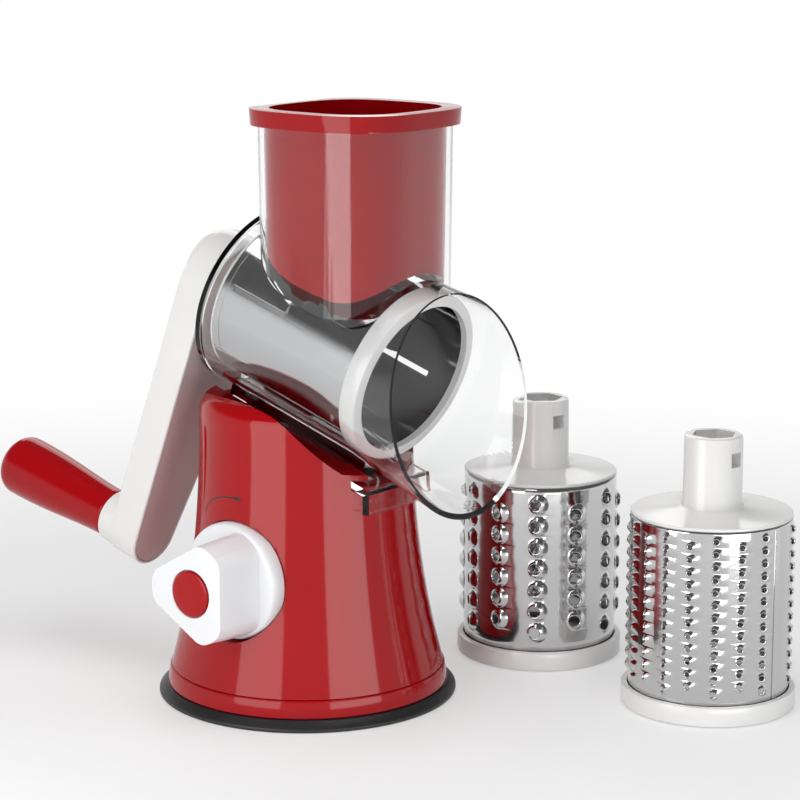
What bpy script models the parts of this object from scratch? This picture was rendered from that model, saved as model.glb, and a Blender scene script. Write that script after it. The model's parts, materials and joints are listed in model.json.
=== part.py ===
"""Rotary vegetable grater on a suction base, with two spare drums standing beside it.

Lengths are in metres.  +Z is up, the outlet faces -Y, the crank is at +Y and the suction knob is at -X.
The origin is the centre of the underside of the base.
"""
import math

import bmesh
import bpy
from mathutils import Matrix, Vector

# Fits and cuts
SEAT_GAP = 0.0003
RUNNING_GAP = 0.0005
OVERRUN = 0.002
MERGE_DISTANCE = 0.000001
WELD_DISTANCE = 0.00003
ROUND_SIDES = 36
SMALL_ROUND_SIDES = 20
FINE_ROUND_SIDES = 10
DRUM_SIDES = 24
TOOL_TURN_DEG = 1.7

# Drum axis, in the plane X = 0, tilted down toward the outlet
AXIS_HEIGHT = 0.1645
AXIS_TILT_DEG = 18.2

# Suction pad
PAD_RADIUS = 0.065
PAD_TOP_RADIUS = 0.0615
PAD_THICKNESS = 0.0045

# Foot ring
RING_RADIUS = 0.0612
RING_TOP_RADIUS = 0.0600
RING_BORE_RADIUS = 0.0440
RING_THICKNESS = 0.0076

# Body shell
BODY_FOOT_RADIUS = 0.0594
BODY_NECK_RADIUS = 0.0460
BODY_TOP = 0.1335
BODY_SHOULDER = 0.0090
BODY_WALL = 0.0026
FLANK_POWER = 2.25
FLANK_STEPS = 6
SHOULDER_STEPS = 3

# Screws between ring and body
SCREW_COUNT = 3
SCREW_CIRCLE = 0.0490
SCREW_RADIUS = 0.0016
SCREW_HEAD_RADIUS = 0.0032
SCREW_HEAD_HEIGHT = 0.0022
SCREW_LENGTH = 0.0150
SCREW_POST_RADIUS = 0.0046
SCREW_POST_HEIGHT = 0.0200

# Barrel of the clear housing, along the drum axis
BARREL_CLEARANCE = 0.0010
BARREL_WALL = 0.0018
BARREL_FRONT = 0.0580
BACK_WALL_THICKNESS = 0.0016
BACK_RIM_HEIGHT = 0.0006
BACK_RIM_WIDTH = 0.0040
SLEEVE_WALL = 0.0028
SLEEVE_LENGTH = 0.0036

# Outlet spout
SPOUT_FLARE = 0.0062
SPOUT_RIM_REACH = 0.0877
SPOUT_RIM_DROP = 0.0011
SPOUT_RIM_LEAN_DEG = 8.0

# Food chute and pusher
CHUTE_HALF_WIDTH = 0.0359
CHUTE_CENTRE_Y = -0.0281
CHUTE_SQUARENESS = 3.1
CHUTE_WALL = 0.0017
CHUTE_TOP = 0.2483
CHUTE_DRAFT = 0.0012
PUSHER_WALL = 0.0019
PUSHER_COLLAR_OVERHANG = 0.0032
PUSHER_COLLAR_HEIGHT = 0.0069
PUSHER_SADDLE_GAP = 0.0017
CRANK_CLEARANCE = 0.0008
OUTLINE_POINTS = 40

# Foot of the housing and the channel that it slides in
CHANNEL_CLEARANCE = 0.0097
NECK_HALF_WIDTH = 0.0122
FOOT_HALF_WIDTH = 0.0200
FOOT_THICKNESS = 0.0031
FOOT_BACK = -0.0160
NECK_BACK = -0.0200
LEDGE_THICKNESS = 0.0022
LIP_THICKNESS = 0.0032
LIP_BOTTOM = 0.0887

# Suction knob
KNOB_HEIGHT = 0.0584
KNOB_SEAT = 0.0440
KNOB_SKIRT_RADIUS = 0.0252
KNOB_SKIRT_THICKNESS = 0.0072
KNOB_LENGTH = 0.0305
KNOB_LOBE_RADIUS = 0.0240
KNOB_LOBE_FRONT_RADIUS = 0.0222
KNOB_FRONT_CHAMFER = 0.0020
CAP_RADIUS = 0.0097
CAP_THICKNESS = 0.0024
CAP_STAND_PROUD = 0.0006
KNOB_SCREW_RADIUS = 0.0020
KNOB_SCREW_HEAD_RADIUS = 0.0042
KNOB_SCREW_HEAD_HEIGHT = 0.0026
KNOB_SCREW_LENGTH = 0.0130
KNOB_SCREW_WEB = 0.0030

# Cam shaft and pad stem
SHAFT_RADIUS = 0.0060
SHAFT_IN_KNOB = 0.0160
SHAFT_SLEEVE_WALL = 0.0030
SHAFT_SLEEVE_END = 0.0120
CAM_RADIUS = 0.0080
CAM_OFFSET = 0.0030
CAM_THICKNESS = 0.0070
STEM_FOOT_RADIUS = 0.0300
STEM_FOOT_THICKNESS = 0.0024
STEM_THICKNESS = 0.0090
STEM_SIDE = 0.0036
STEM_TOP_BAR = 0.0045
CAM_WINDOW_GAP = 0.0012

# Drums
DRUM_RADIUS = 0.0346
DRUM_SHEET = 0.0008
DRUM_LENGTH = 0.0850
DRUM_FRONT = 0.0628
DRUM_RING_REACH = 0.0029
DRUM_RING_HEIGHT = 0.0085
DRUM_RING_LIP = 0.0030
DRUM_RING_INSET = 0.0020
HUB_LIP = 0.0013
HUB_THICKNESS = 0.0022
HUB_RISE = 0.0014
STEM_RADIUS = 0.0126
STEM_LENGTH = 0.0315
STEM_HEX_RADIUS = 0.0098
STEM_WINDOW = 0.0062
STEM_WINDOW_DROP = 0.0065

# Teeth and slots of the drums
COARSE_COLUMNS = 12
COARSE_ROWS = 7
COARSE_PITCH = 0.0098
COARSE_TOOTH_RADIUS = 0.0046
COARSE_TOOTH_HEIGHT = 0.0020
COARSE_HOLE_RADIUS = 0.0028
COARSE_TOOTH_SIDES = 4
TOOTH_TURN_DEG = 7.5
FINE_COLUMNS = 20
FINE_ROWS = 13
FINE_PITCH = 0.0055
FINE_TOOTH_RADIUS = 0.0022
FINE_TOOTH_HEIGHT = 0.0013
FINE_TOOTH_SIDES = 3
FINE_SEAM_WIDTH = 0.0025
FINE_SEAM_RISE = 0.00035
FINE_SEAM_TURN_DEG = 344.0
SLICER_SLOTS = 6
SLOT_LENGTH = 0.0290
SLOT_WIDTH = 0.0026
SLOT_STAGGER = 0.0330
SLOT_TURN_DEG = 12.0
BLADE_RISE = 0.0012
BLADE_WIDTH = 0.0050

# Crank
CRANK_REST_DEG = 9.0
CRANK_LENGTH = 0.1245
CRANK_HUB_RADIUS = 0.0244
CRANK_HUB_DROP = 0.0055
CRANK_END_RADIUS = 0.0130
CRANK_THICKNESS = 0.0160
CRANK_COLLAR_RADIUS = 0.0156
CRANK_COLLAR_LENGTH = 0.0060
CRANK_BACK_BOSS_RADIUS = 0.0162
CRANK_BACK_BOSS_HEIGHT = 0.0060
CRANK_SOCKET_FLOOR = 0.0012
ARM_ARC_STEPS = 12
COVER_INSET = 0.0014
COVER_THICKNESS = 0.0022
GRIP_LEAN_DEG = 3.8
GRIP_BOSS_RADIUS = 0.0127
GRIP_BOSS_END_RADIUS = 0.0118
GRIP_BOSS_HEIGHT = 0.0090
GRIP_LENGTH = 0.0645
GRIP_ROOT_RADIUS = 0.0110
GRIP_END_RADIUS = 0.0140
GRIP_PIN_RADIUS = 0.0030
GRIP_PIN_HEAD_RADIUS = 0.0055
GRIP_PIN_HEAD_HEIGHT = 0.0030
GRIP_PIN_IN_ARM = 0.0200
GRIP_CAP_RADIUS = 0.0072
GRIP_CAP_THICKNESS = 0.0016
GRIP_STEPS = 8

# Places of the spare drums on the table, and how they are turned
COARSE_X = 0.1083
COARSE_Y = -0.0479
COARSE_TURN_DEG = 25.0
COARSE_HUB_TURN_DEG = 75.0
FINE_X = 0.0903
FINE_Y = -0.1494
FINE_TURN_DEG = 279.5
FINE_HUB_TURN_DEG = 83.0

# Sizes worked out from the ones above
DRUM_RING_RADIUS = DRUM_RADIUS + DRUM_RING_REACH
DRUM_OUTLET_RADIUS = DRUM_RADIUS - DRUM_RING_INSET
BARREL_BORE_RADIUS = DRUM_RING_RADIUS + BARREL_CLEARANCE
BARREL_RADIUS = BARREL_BORE_RADIUS + BARREL_WALL
BACK_RIM_RADIUS = BARREL_RADIUS + BACK_RIM_HEIGHT
SPOUT_RIM_RADIUS = BARREL_RADIUS + SPOUT_FLARE
CHANNEL_RADIUS = BARREL_RADIUS + CHANNEL_CLEARANCE
PUSHER_SADDLE_RADIUS = BARREL_RADIUS + PUSHER_SADDLE_GAP
RING_BASE = PAD_THICKNESS + SEAT_GAP
BODY_BASE = RING_BASE + RING_THICKNESS + SEAT_GAP
HUB_FACE = DRUM_FRONT - DRUM_LENGTH - HUB_RISE
BACK_WALL_FRONT = HUB_FACE - RUNNING_GAP
BACK_WALL_BACK = BACK_WALL_FRONT - BACK_WALL_THICKNESS
SLEEVE_BORE_RADIUS = STEM_RADIUS + RUNNING_GAP
SLEEVE_END = BACK_WALL_BACK - SLEEVE_LENGTH
CRANK_COLLAR_FRONT = SLEEVE_END - RUNNING_GAP
CRANK_FRONT = CRANK_COLLAR_FRONT - CRANK_COLLAR_LENGTH
CRANK_BACK = CRANK_FRONT - CRANK_THICKNESS
CRANK_BOSS_BACK = CRANK_BACK - CRANK_BACK_BOSS_HEIGHT
STEM_END = HUB_FACE - STEM_LENGTH
FOOT_FLOOR = CHANNEL_RADIUS - SEAT_GAP
FOOT_TOP = FOOT_FLOOR - FOOT_THICKNESS
FOOT_SLOT_HALF_WIDTH = FOOT_HALF_WIDTH + RUNNING_GAP
LEDGE_BOTTOM = FOOT_TOP - RUNNING_GAP
LEDGE_TOP = LEDGE_BOTTOM - LEDGE_THICKNESS
STEM_FOOT_BASE = PAD_THICKNESS + SEAT_GAP
CAM_HEIGHT = KNOB_HEIGHT - CAM_OFFSET
WINDOW_HALF_HEIGHT = CAM_RADIUS + CAM_WINDOW_GAP
WINDOW_HALF_WIDTH = CAM_RADIUS + CAM_OFFSET + CAM_WINDOW_GAP

TILT = math.radians(AXIS_TILT_DEG)
AXIS_MATRIX = Matrix.Translation((0, 0, AXIS_HEIGHT)) @ Matrix.Rotation(math.pi / 2 + TILT, 4, "X")


# Meshes

def turned(profile, sides=ROUND_SIDES):
    """A piece turned about Z from (radius, height) points, closed on the axis or as a ring."""
    mesh = bmesh.new()
    verts = [mesh.verts.new((radius, 0, height)) for radius, height in profile]
    edges = [mesh.edges.new(pair) for pair in zip(verts, verts[1:])]
    if profile[0][0] > 0:
        edges.append(mesh.edges.new((verts[-1], verts[0])))
    bmesh.ops.spin(mesh, geom=verts + edges, cent=(0, 0, 0), axis=(0, 0, 1),
                   angle=math.tau, steps=sides, use_merge=True)
    bmesh.ops.remove_doubles(mesh, verts=mesh.verts, dist=MERGE_DISTANCE)
    bmesh.ops.recalc_face_normals(mesh, faces=mesh.faces)
    return mesh


def drum_of(radius, low, high, sides=ROUND_SIDES):
    """A plain round bar along Z."""
    return turned([(0, low), (radius, low), (radius, high), (0, high)], sides)


def round_tool(radius, low, high, sides=ROUND_SIDES):
    """A round bar along Z that cuts other pieces, turned a little so that its edges miss theirs."""
    return moved(drum_of(radius, low, high, sides), Matrix.Rotation(math.radians(TOOL_TURN_DEG), 4, "Z"))


def round_points(radius, place):
    """Points of a circle on a plane."""
    turns = [math.tau * number / ROUND_SIDES for number in range(ROUND_SIDES)]
    return [place @ Vector((radius * math.cos(turn), radius * math.sin(turn), 0)) for turn in turns]


def lofted(rings):
    """A closed body through rings of points, flat at both ends."""
    mesh = bmesh.new()
    rows = [[mesh.verts.new(point) for point in ring] for ring in rings]
    for near, far in zip(rows, rows[1:]):
        for number in range(len(near)):
            after = (number + 1) % len(near)
            mesh.faces.new((near[number], near[after], far[after], far[number]))
    mesh.faces.new(rows[0])
    mesh.faces.new(rows[-1])
    bmesh.ops.recalc_face_normals(mesh, faces=mesh.faces)
    return mesh


def prism(outline, low, high, top_scale=1.0):
    """A bar along Z with this outline, whose top may be drawn in or out."""
    mesh = bmesh.new()
    base = mesh.faces.new([mesh.verts.new((x, y, low)) for x, y in outline])
    raised = bmesh.ops.extrude_face_region(mesh, geom=[base])["geom"]
    top = [item for item in raised if isinstance(item, bmesh.types.BMVert)]
    bmesh.ops.translate(mesh, verts=top, vec=(0, 0, high - low))
    bmesh.ops.scale(mesh, verts=top, vec=(top_scale, top_scale, 1))
    bmesh.ops.recalc_face_normals(mesh, faces=mesh.faces)
    return mesh


def block(low, high):
    """A box between two corners."""
    outline = [(low[0], low[1]), (high[0], low[1]), (high[0], high[1]), (low[0], high[1])]
    return prism(outline, low[2], high[2])


def moved(mesh, matrix):
    """The same mesh, carried by a matrix."""
    bmesh.ops.transform(mesh, matrix=matrix, verts=mesh.verts)
    return mesh


def joined(meshes):
    """Several separate bodies in one mesh."""
    whole = bmesh.new()
    for mesh in meshes:
        part = bpy.data.meshes.new("part")
        mesh.to_mesh(part)
        mesh.free()
        whole.from_mesh(part)
        bpy.data.meshes.remove(part)
    return whole


def add_object(name, mesh, parent=None, material=None, location=(0, 0, 0), rotation=(0, 0, 0), crease_deg=35):
    """A named object from a mesh, or from a mesh datablock that it shares with another piece."""
    data = mesh
    if isinstance(mesh, bmesh.types.BMesh):
        data = bpy.data.meshes.new(name)
        mesh.to_mesh(data)
        mesh.free()
        data.shade_smooth()
        data.set_sharp_from_angle(angle=math.radians(crease_deg))
        if material:
            data.materials.append(material)
    item = bpy.data.objects.new(name, data)
    bpy.context.scene.collection.objects.link(item)
    item.parent = parent
    item.location = location
    item.rotation_euler = rotation
    return item


def add_frame(name, parent=None, location=(0, 0, 0), rotation=(0, 0, 0)):
    """An empty that carries the pieces of one moving assembly."""
    frame = bpy.data.objects.new(name, None)
    bpy.context.scene.collection.objects.link(frame)
    frame.parent = parent
    frame.location = location
    frame.rotation_euler = rotation
    return frame


def boolean(target, operation, mesh, parent=None, location=(0, 0, 0), rotation=(0, 0, 0)):
    """Joins a shape to a piece, or cuts it away, and returns the tool."""
    tool = add_object("tool_" + target.name, mesh, parent, None, location, rotation)
    tool.hide_render = True
    tool.display_type = "WIRE"
    step = target.modifiers.new(operation.lower(), "BOOLEAN")
    step.operation = operation
    step.object = tool
    step.solver = "EXACT"
    return tool


def weld(item):
    """Joins the doubled corners that cuts leave behind."""
    step = item.modifiers.new("weld", "WELD")
    step.merge_threshold = WELD_DISTANCE


def plastic(name, colour, roughness=0.25, transmission=0.0):
    """A moulded plastic, clear where it transmits."""
    material = bpy.data.materials.new(name)
    material.use_nodes = True
    shader = material.node_tree.nodes["Principled BSDF"]
    shader.inputs["Base Color"].default_value = (*colour, 1)
    shader.inputs["Roughness"].default_value = roughness
    shader.inputs["Transmission Weight"].default_value = transmission
    return material


def metal(name, colour, roughness):
    """A bare metal."""
    material = plastic(name, colour, roughness)
    material.node_tree.nodes["Principled BSDF"].inputs["Metallic"].default_value = 1
    return material


# Outlines

def rounded_square(half_width, centre_y=0):
    """A square with bulging sides and round corners."""
    points = []
    for step in range(OUTLINE_POINTS):
        angle = math.tau * step / OUTLINE_POINTS
        across = math.copysign(abs(math.cos(angle)) ** (2 / CHUTE_SQUARENESS), math.cos(angle))
        along = math.copysign(abs(math.sin(angle)) ** (2 / CHUTE_SQUARENESS), math.sin(angle))
        points.append((half_width * across, centre_y + half_width * along))
    return points


def arm_outline(inset=0):
    """Two arcs joined by straight tangents: the hub, a little below the drum axis, and the end far below it."""
    hub_radius = CRANK_HUB_RADIUS - inset
    end_radius = CRANK_END_RADIUS - inset
    lean = math.asin((hub_radius - end_radius) / (CRANK_LENGTH - CRANK_HUB_DROP))
    points = []
    for step in range(ARM_ARC_STEPS + 1):
        angle = -lean + (math.pi + 2 * lean) * step / ARM_ARC_STEPS
        points.append((hub_radius * math.cos(angle), hub_radius * math.sin(angle) - CRANK_HUB_DROP))
    for step in range(ARM_ARC_STEPS + 1):
        angle = math.pi + lean + (math.pi - 2 * lean) * step / ARM_ARC_STEPS
        points.append((end_radius * math.cos(angle), end_radius * math.sin(angle) - CRANK_LENGTH))
    return points


def knob_outline(lobe_radius):
    """Three blunt lobes, the first along local Y, with flat sides between them."""
    points = []
    blunt = math.radians(34)
    for lobe in range(3):
        middle = math.pi / 2 + lobe * math.tau / 3
        for share in (-0.5, 0, 0.5):
            angle = middle + share * blunt
            points.append((lobe_radius * math.cos(angle), lobe_radius * math.sin(angle)))
    return points


def flank_radius(height, offset=0):
    """Radius of the body's flank at a height, drawn in by an offset."""
    flank_top = BODY_TOP - BODY_SHOULDER
    share = max(0, min(1, (height - BODY_BASE) / (flank_top - BODY_BASE)))
    return BODY_NECK_RADIUS + (BODY_FOOT_RADIUS - BODY_NECK_RADIUS) * (1 - share) ** FLANK_POWER - offset


def body_profile(offset, base):
    """Half section of the body: axis, foot, flank, round shoulder and top."""
    flank_top = BODY_TOP - BODY_SHOULDER
    points = [(0, base)]
    for step in range(FLANK_STEPS + 1):
        height = BODY_BASE + (flank_top - BODY_BASE) * (step / FLANK_STEPS) ** 1.3
        points.append((flank_radius(height, offset), base if step == 0 else height))
    shoulder = BODY_SHOULDER - offset
    for step in range(1, SHOULDER_STEPS + 1):
        angle = math.pi / 2 * step / SHOULDER_STEPS
        reach = BODY_NECK_RADIUS - BODY_SHOULDER + shoulder * math.cos(angle)
        points.append((reach, flank_top + shoulder * math.sin(angle)))
    points.append((0, flank_top + shoulder))
    return points


# Base

def make_base(axis, red, black, white, steel):
    """Pad, ring, shell, and the screws that hold ring and shell together."""
    pad = turned([(0, 0), (PAD_RADIUS, 0), (PAD_TOP_RADIUS, PAD_THICKNESS), (0, PAD_THICKNESS)])
    add_object("suction_pad", pad, None, black)

    ring_top = RING_BASE + RING_THICKNESS
    ring = add_object("base_ring", turned([(RING_BORE_RADIUS, RING_BASE), (RING_RADIUS, RING_BASE),
                                           (RING_TOP_RADIUS, ring_top), (RING_BORE_RADIUS, ring_top)]), None, red)
    body = add_object("base_body", turned(body_profile(0, BODY_BASE)), None, red)

    knob_place = dict(location=(0, 0, KNOB_HEIGHT), rotation=(0, -math.pi / 2, 0))

    # The inside: the shell's own shape drawn in by the wall, short of the channel, the seat, sleeve and posts
    inside = boolean(body, "DIFFERENCE", turned(body_profile(BODY_WALL, BODY_BASE - OVERRUN)))
    wall_floor = CHANNEL_RADIUS + BODY_WALL
    reach = 2 * BODY_FOOT_RADIUS
    boolean(inside, "DIFFERENCE", round_tool(wall_floor, -reach, reach), axis)
    slot_wall = FOOT_SLOT_HALF_WIDTH + BODY_WALL
    slot_block = block((-slot_wall, -wall_floor, -reach - OVERRUN), (slot_wall, OVERRUN, reach + OVERRUN))
    boolean(inside, "DIFFERENCE", slot_block, axis)
    seat_wall = KNOB_SEAT - BODY_WALL
    pocket_radius = KNOB_SKIRT_RADIUS + RUNNING_GAP
    boolean(inside, "DIFFERENCE", round_tool(pocket_radius + BODY_WALL, seat_wall, reach), **knob_place)
    sleeve_radius = SHAFT_RADIUS + RUNNING_GAP + SHAFT_SLEEVE_WALL
    sleeve = round_tool(sleeve_radius, SHAFT_SLEEVE_END, seat_wall + OVERRUN, SMALL_ROUND_SIDES)
    boolean(inside, "DIFFERENCE", sleeve, **knob_place)
    boolean(inside, "DIFFERENCE", screw_group(SCREW_POST_RADIUS, BODY_BASE - 2 * OVERRUN,
                                              BODY_BASE + SCREW_POST_HEIGHT, FINE_ROUND_SIDES))

    # The channel that the housing slides in, with a ledge over each edge of its foot
    channel = boolean(body, "DIFFERENCE", round_tool(CHANNEL_RADIUS, -reach, reach), axis)
    slot_end = reach + OVERRUN
    slot = block((-FOOT_SLOT_HALF_WIDTH, -CHANNEL_RADIUS, -slot_end), (FOOT_SLOT_HALF_WIDTH, OVERRUN, slot_end))
    boolean(channel, "UNION", slot, axis)
    ledge_inner = NECK_HALF_WIDTH + RUNNING_GAP
    for side in (-1, 1):
        near, far = sorted((side * ledge_inner, side * (FOOT_SLOT_HALF_WIDTH + BODY_WALL)))
        ledge = block((near, -LEDGE_BOTTOM, -slot_end - OVERRUN), (far, -LEDGE_TOP, slot_end + OVERRUN))
        boolean(channel, "DIFFERENCE", ledge, axis)

    # Pocket of the knob's skirt, bore of the shaft and holes of the screws
    bore_radius = SHAFT_RADIUS + RUNNING_GAP
    bore_end = SHAFT_SLEEVE_END - OVERRUN
    pocket = turned([(0, bore_end), (bore_radius, bore_end), (bore_radius, KNOB_SEAT), (pocket_radius, KNOB_SEAT),
                     (pocket_radius, reach), (0, reach)])
    turn = Matrix.Rotation(2 * math.radians(TOOL_TURN_DEG), 4, "Z")
    boolean(body, "DIFFERENCE", moved(pocket, turn), **knob_place)
    head_top = RING_BASE + SCREW_HEAD_HEIGHT + SEAT_GAP
    screw_top = head_top + SCREW_LENGTH
    boolean(body, "DIFFERENCE", screw_group(SCREW_RADIUS + SEAT_GAP, RING_BASE, screw_top + SEAT_GAP, FINE_ROUND_SIDES))
    boolean(ring, "DIFFERENCE", screw_group(SCREW_RADIUS + SEAT_GAP, RING_BASE - OVERRUN, ring_top + OVERRUN,
                                            FINE_ROUND_SIDES))
    boolean(ring, "DIFFERENCE", screw_group(SCREW_HEAD_RADIUS + SEAT_GAP, RING_BASE - OVERRUN, head_top + SEAT_GAP,
                                            FINE_ROUND_SIDES))
    screw = turned([(0, RING_BASE), (SCREW_HEAD_RADIUS, RING_BASE), (SCREW_HEAD_RADIUS, head_top),
                    (SCREW_RADIUS, head_top), (SCREW_RADIUS, screw_top), (0, screw_top)], FINE_ROUND_SIDES)
    for number, turn in enumerate(screw_turns()):
        item = add_object("base_screw_" + "abc"[number], screw, None, steel, turn.translation, turn.to_euler())
        screw = item.data
    weld(body)


def screw_turns():
    """Places of the base screws, one of them under the crank."""
    for number in range(SCREW_COUNT):
        yield Matrix.Rotation(math.tau * number / SCREW_COUNT + math.pi / 2, 4, "Z") @ Matrix.Translation(
            (SCREW_CIRCLE, 0, 0))


def screw_group(radius, low, high, sides):
    """One round bar at each base screw."""
    return joined([moved(drum_of(radius, low, high, sides), turn) for turn in screw_turns()])


def make_suction(white, red, steel):
    """Stem, cam shaft, knob, its screw and its cap."""
    post_half_width = WINDOW_HALF_WIDTH + STEM_SIDE
    post_top = CAM_HEIGHT + WINDOW_HALF_HEIGHT + STEM_TOP_BAR
    foot_top = STEM_FOOT_BASE + STEM_FOOT_THICKNESS
    stem = add_object("pad_stem", drum_of(STEM_FOOT_RADIUS, STEM_FOOT_BASE, foot_top), None, white)
    half_thickness = STEM_THICKNESS / 2
    post = block((-half_thickness, -post_half_width, foot_top - STEM_FOOT_THICKNESS / 2),
                 (half_thickness, post_half_width, post_top))
    boolean(stem, "UNION", post)
    window = block((-half_thickness - OVERRUN, -WINDOW_HALF_WIDTH, CAM_HEIGHT - WINDOW_HALF_HEIGHT),
                   (half_thickness + OVERRUN, WINDOW_HALF_WIDTH, CAM_HEIGHT + WINDOW_HALF_HEIGHT))
    boolean(stem, "DIFFERENCE", window)

    knob_frame = add_frame("knob_frame", None, (0, 0, KNOB_HEIGHT), (0, -math.pi / 2, 0))
    knob_back = KNOB_SEAT + SEAT_GAP
    knob_front = knob_back + KNOB_LENGTH
    shaft_front = knob_back + SHAFT_IN_KNOB
    shaft = add_object("cam_shaft", drum_of(SHAFT_RADIUS, -CAM_THICKNESS / 2 - OVERRUN, shaft_front,
                                            SMALL_ROUND_SIDES), knob_frame, white)
    cam = drum_of(CAM_RADIUS, -CAM_THICKNESS / 2, CAM_THICKNESS / 2, SMALL_ROUND_SIDES)
    boolean(shaft, "UNION", cam, knob_frame, (-CAM_OFFSET, 0, 0))
    screw_floor = shaft_front + SEAT_GAP + KNOB_SCREW_WEB + SEAT_GAP - KNOB_SCREW_LENGTH
    boolean(shaft, "DIFFERENCE", drum_of(KNOB_SCREW_RADIUS + SEAT_GAP, screw_floor - SEAT_GAP, shaft_front + OVERRUN,
                                         FINE_ROUND_SIDES), knob_frame)

    skirt_front = knob_back + KNOB_SKIRT_THICKNESS
    chamfer = KNOB_FRONT_CHAMFER
    knob = add_object("suction_knob", turned([(0, knob_back), (KNOB_SKIRT_RADIUS, knob_back),
                                              (KNOB_SKIRT_RADIUS, skirt_front - chamfer),
                                              (KNOB_SKIRT_RADIUS - chamfer, skirt_front), (0, skirt_front)]),
                      knob_frame, white)
    lobes = prism(knob_outline(KNOB_LOBE_RADIUS), skirt_front - KNOB_SKIRT_THICKNESS / 2, knob_front,
                  KNOB_LOBE_FRONT_RADIUS / KNOB_LOBE_RADIUS)
    front_edges = [edge for edge in lobes.edges if all(vert.co.z > skirt_front for vert in edge.verts)]
    bmesh.ops.bevel(lobes, geom=front_edges, offset=chamfer, segments=1, affect="EDGES", profile=0.5)
    boolean(knob, "UNION", lobes, knob_frame)
    cap_back = knob_front + CAP_STAND_PROUD - CAP_THICKNESS
    web_front = shaft_front + SEAT_GAP + KNOB_SCREW_WEB
    boolean(knob, "DIFFERENCE", drum_of(CAP_RADIUS + SEAT_GAP, cap_back - SEAT_GAP, knob_front + OVERRUN,
                                        SMALL_ROUND_SIDES), knob_frame)
    boolean(knob, "DIFFERENCE", drum_of(KNOB_SCREW_HEAD_RADIUS + RUNNING_GAP, web_front, knob_front,
                                        SMALL_ROUND_SIDES), knob_frame)
    boolean(knob, "DIFFERENCE", drum_of(KNOB_SCREW_RADIUS + SEAT_GAP, knob_back, web_front + OVERRUN,
                                        FINE_ROUND_SIDES), knob_frame)
    boolean(knob, "DIFFERENCE", drum_of(SHAFT_RADIUS + SEAT_GAP, knob_back - OVERRUN, shaft_front + SEAT_GAP,
                                        SMALL_ROUND_SIDES), knob_frame)

    head_back = web_front + SEAT_GAP
    head_front = head_back + KNOB_SCREW_HEAD_HEIGHT
    screw = turned([(0, screw_floor), (KNOB_SCREW_RADIUS, screw_floor), (KNOB_SCREW_RADIUS, head_back),
                    (KNOB_SCREW_HEAD_RADIUS, head_back), (KNOB_SCREW_HEAD_RADIUS, head_front), (0, head_front)],
                   FINE_ROUND_SIDES)
    add_object("knob_screw", screw, knob_frame, steel)
    cap_front = knob_front + CAP_STAND_PROUD
    cap = turned([(0, cap_back), (CAP_RADIUS, cap_back), (CAP_RADIUS, cap_front - CAP_STAND_PROUD),
                  (CAP_RADIUS - CAP_STAND_PROUD, cap_front), (0, cap_front)], SMALL_ROUND_SIDES)
    add_object("knob_cap", cap, knob_frame, red)


# Housing

def spout_rim(radius, ahead=0):
    """Circle of the outlet's leaning rim, or of a plane a little ahead of it."""
    lean = Matrix.Rotation(-(TILT + math.radians(SPOUT_RIM_LEAN_DEG)), 4, "X")
    place = Matrix.Translation((0, -SPOUT_RIM_DROP, SPOUT_RIM_REACH)) @ lean
    return round_points(radius, place @ Matrix.Translation((0, 0, ahead)))


def barrel_shape(profile, rim_rings):
    """A round body along the drum axis from (radius, height) points, ending in the outlet's rim."""
    rings = [round_points(radius, Matrix.Translation((0, 0, height))) for radius, height in profile]
    return lofted(rings + rim_rings)


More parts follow.
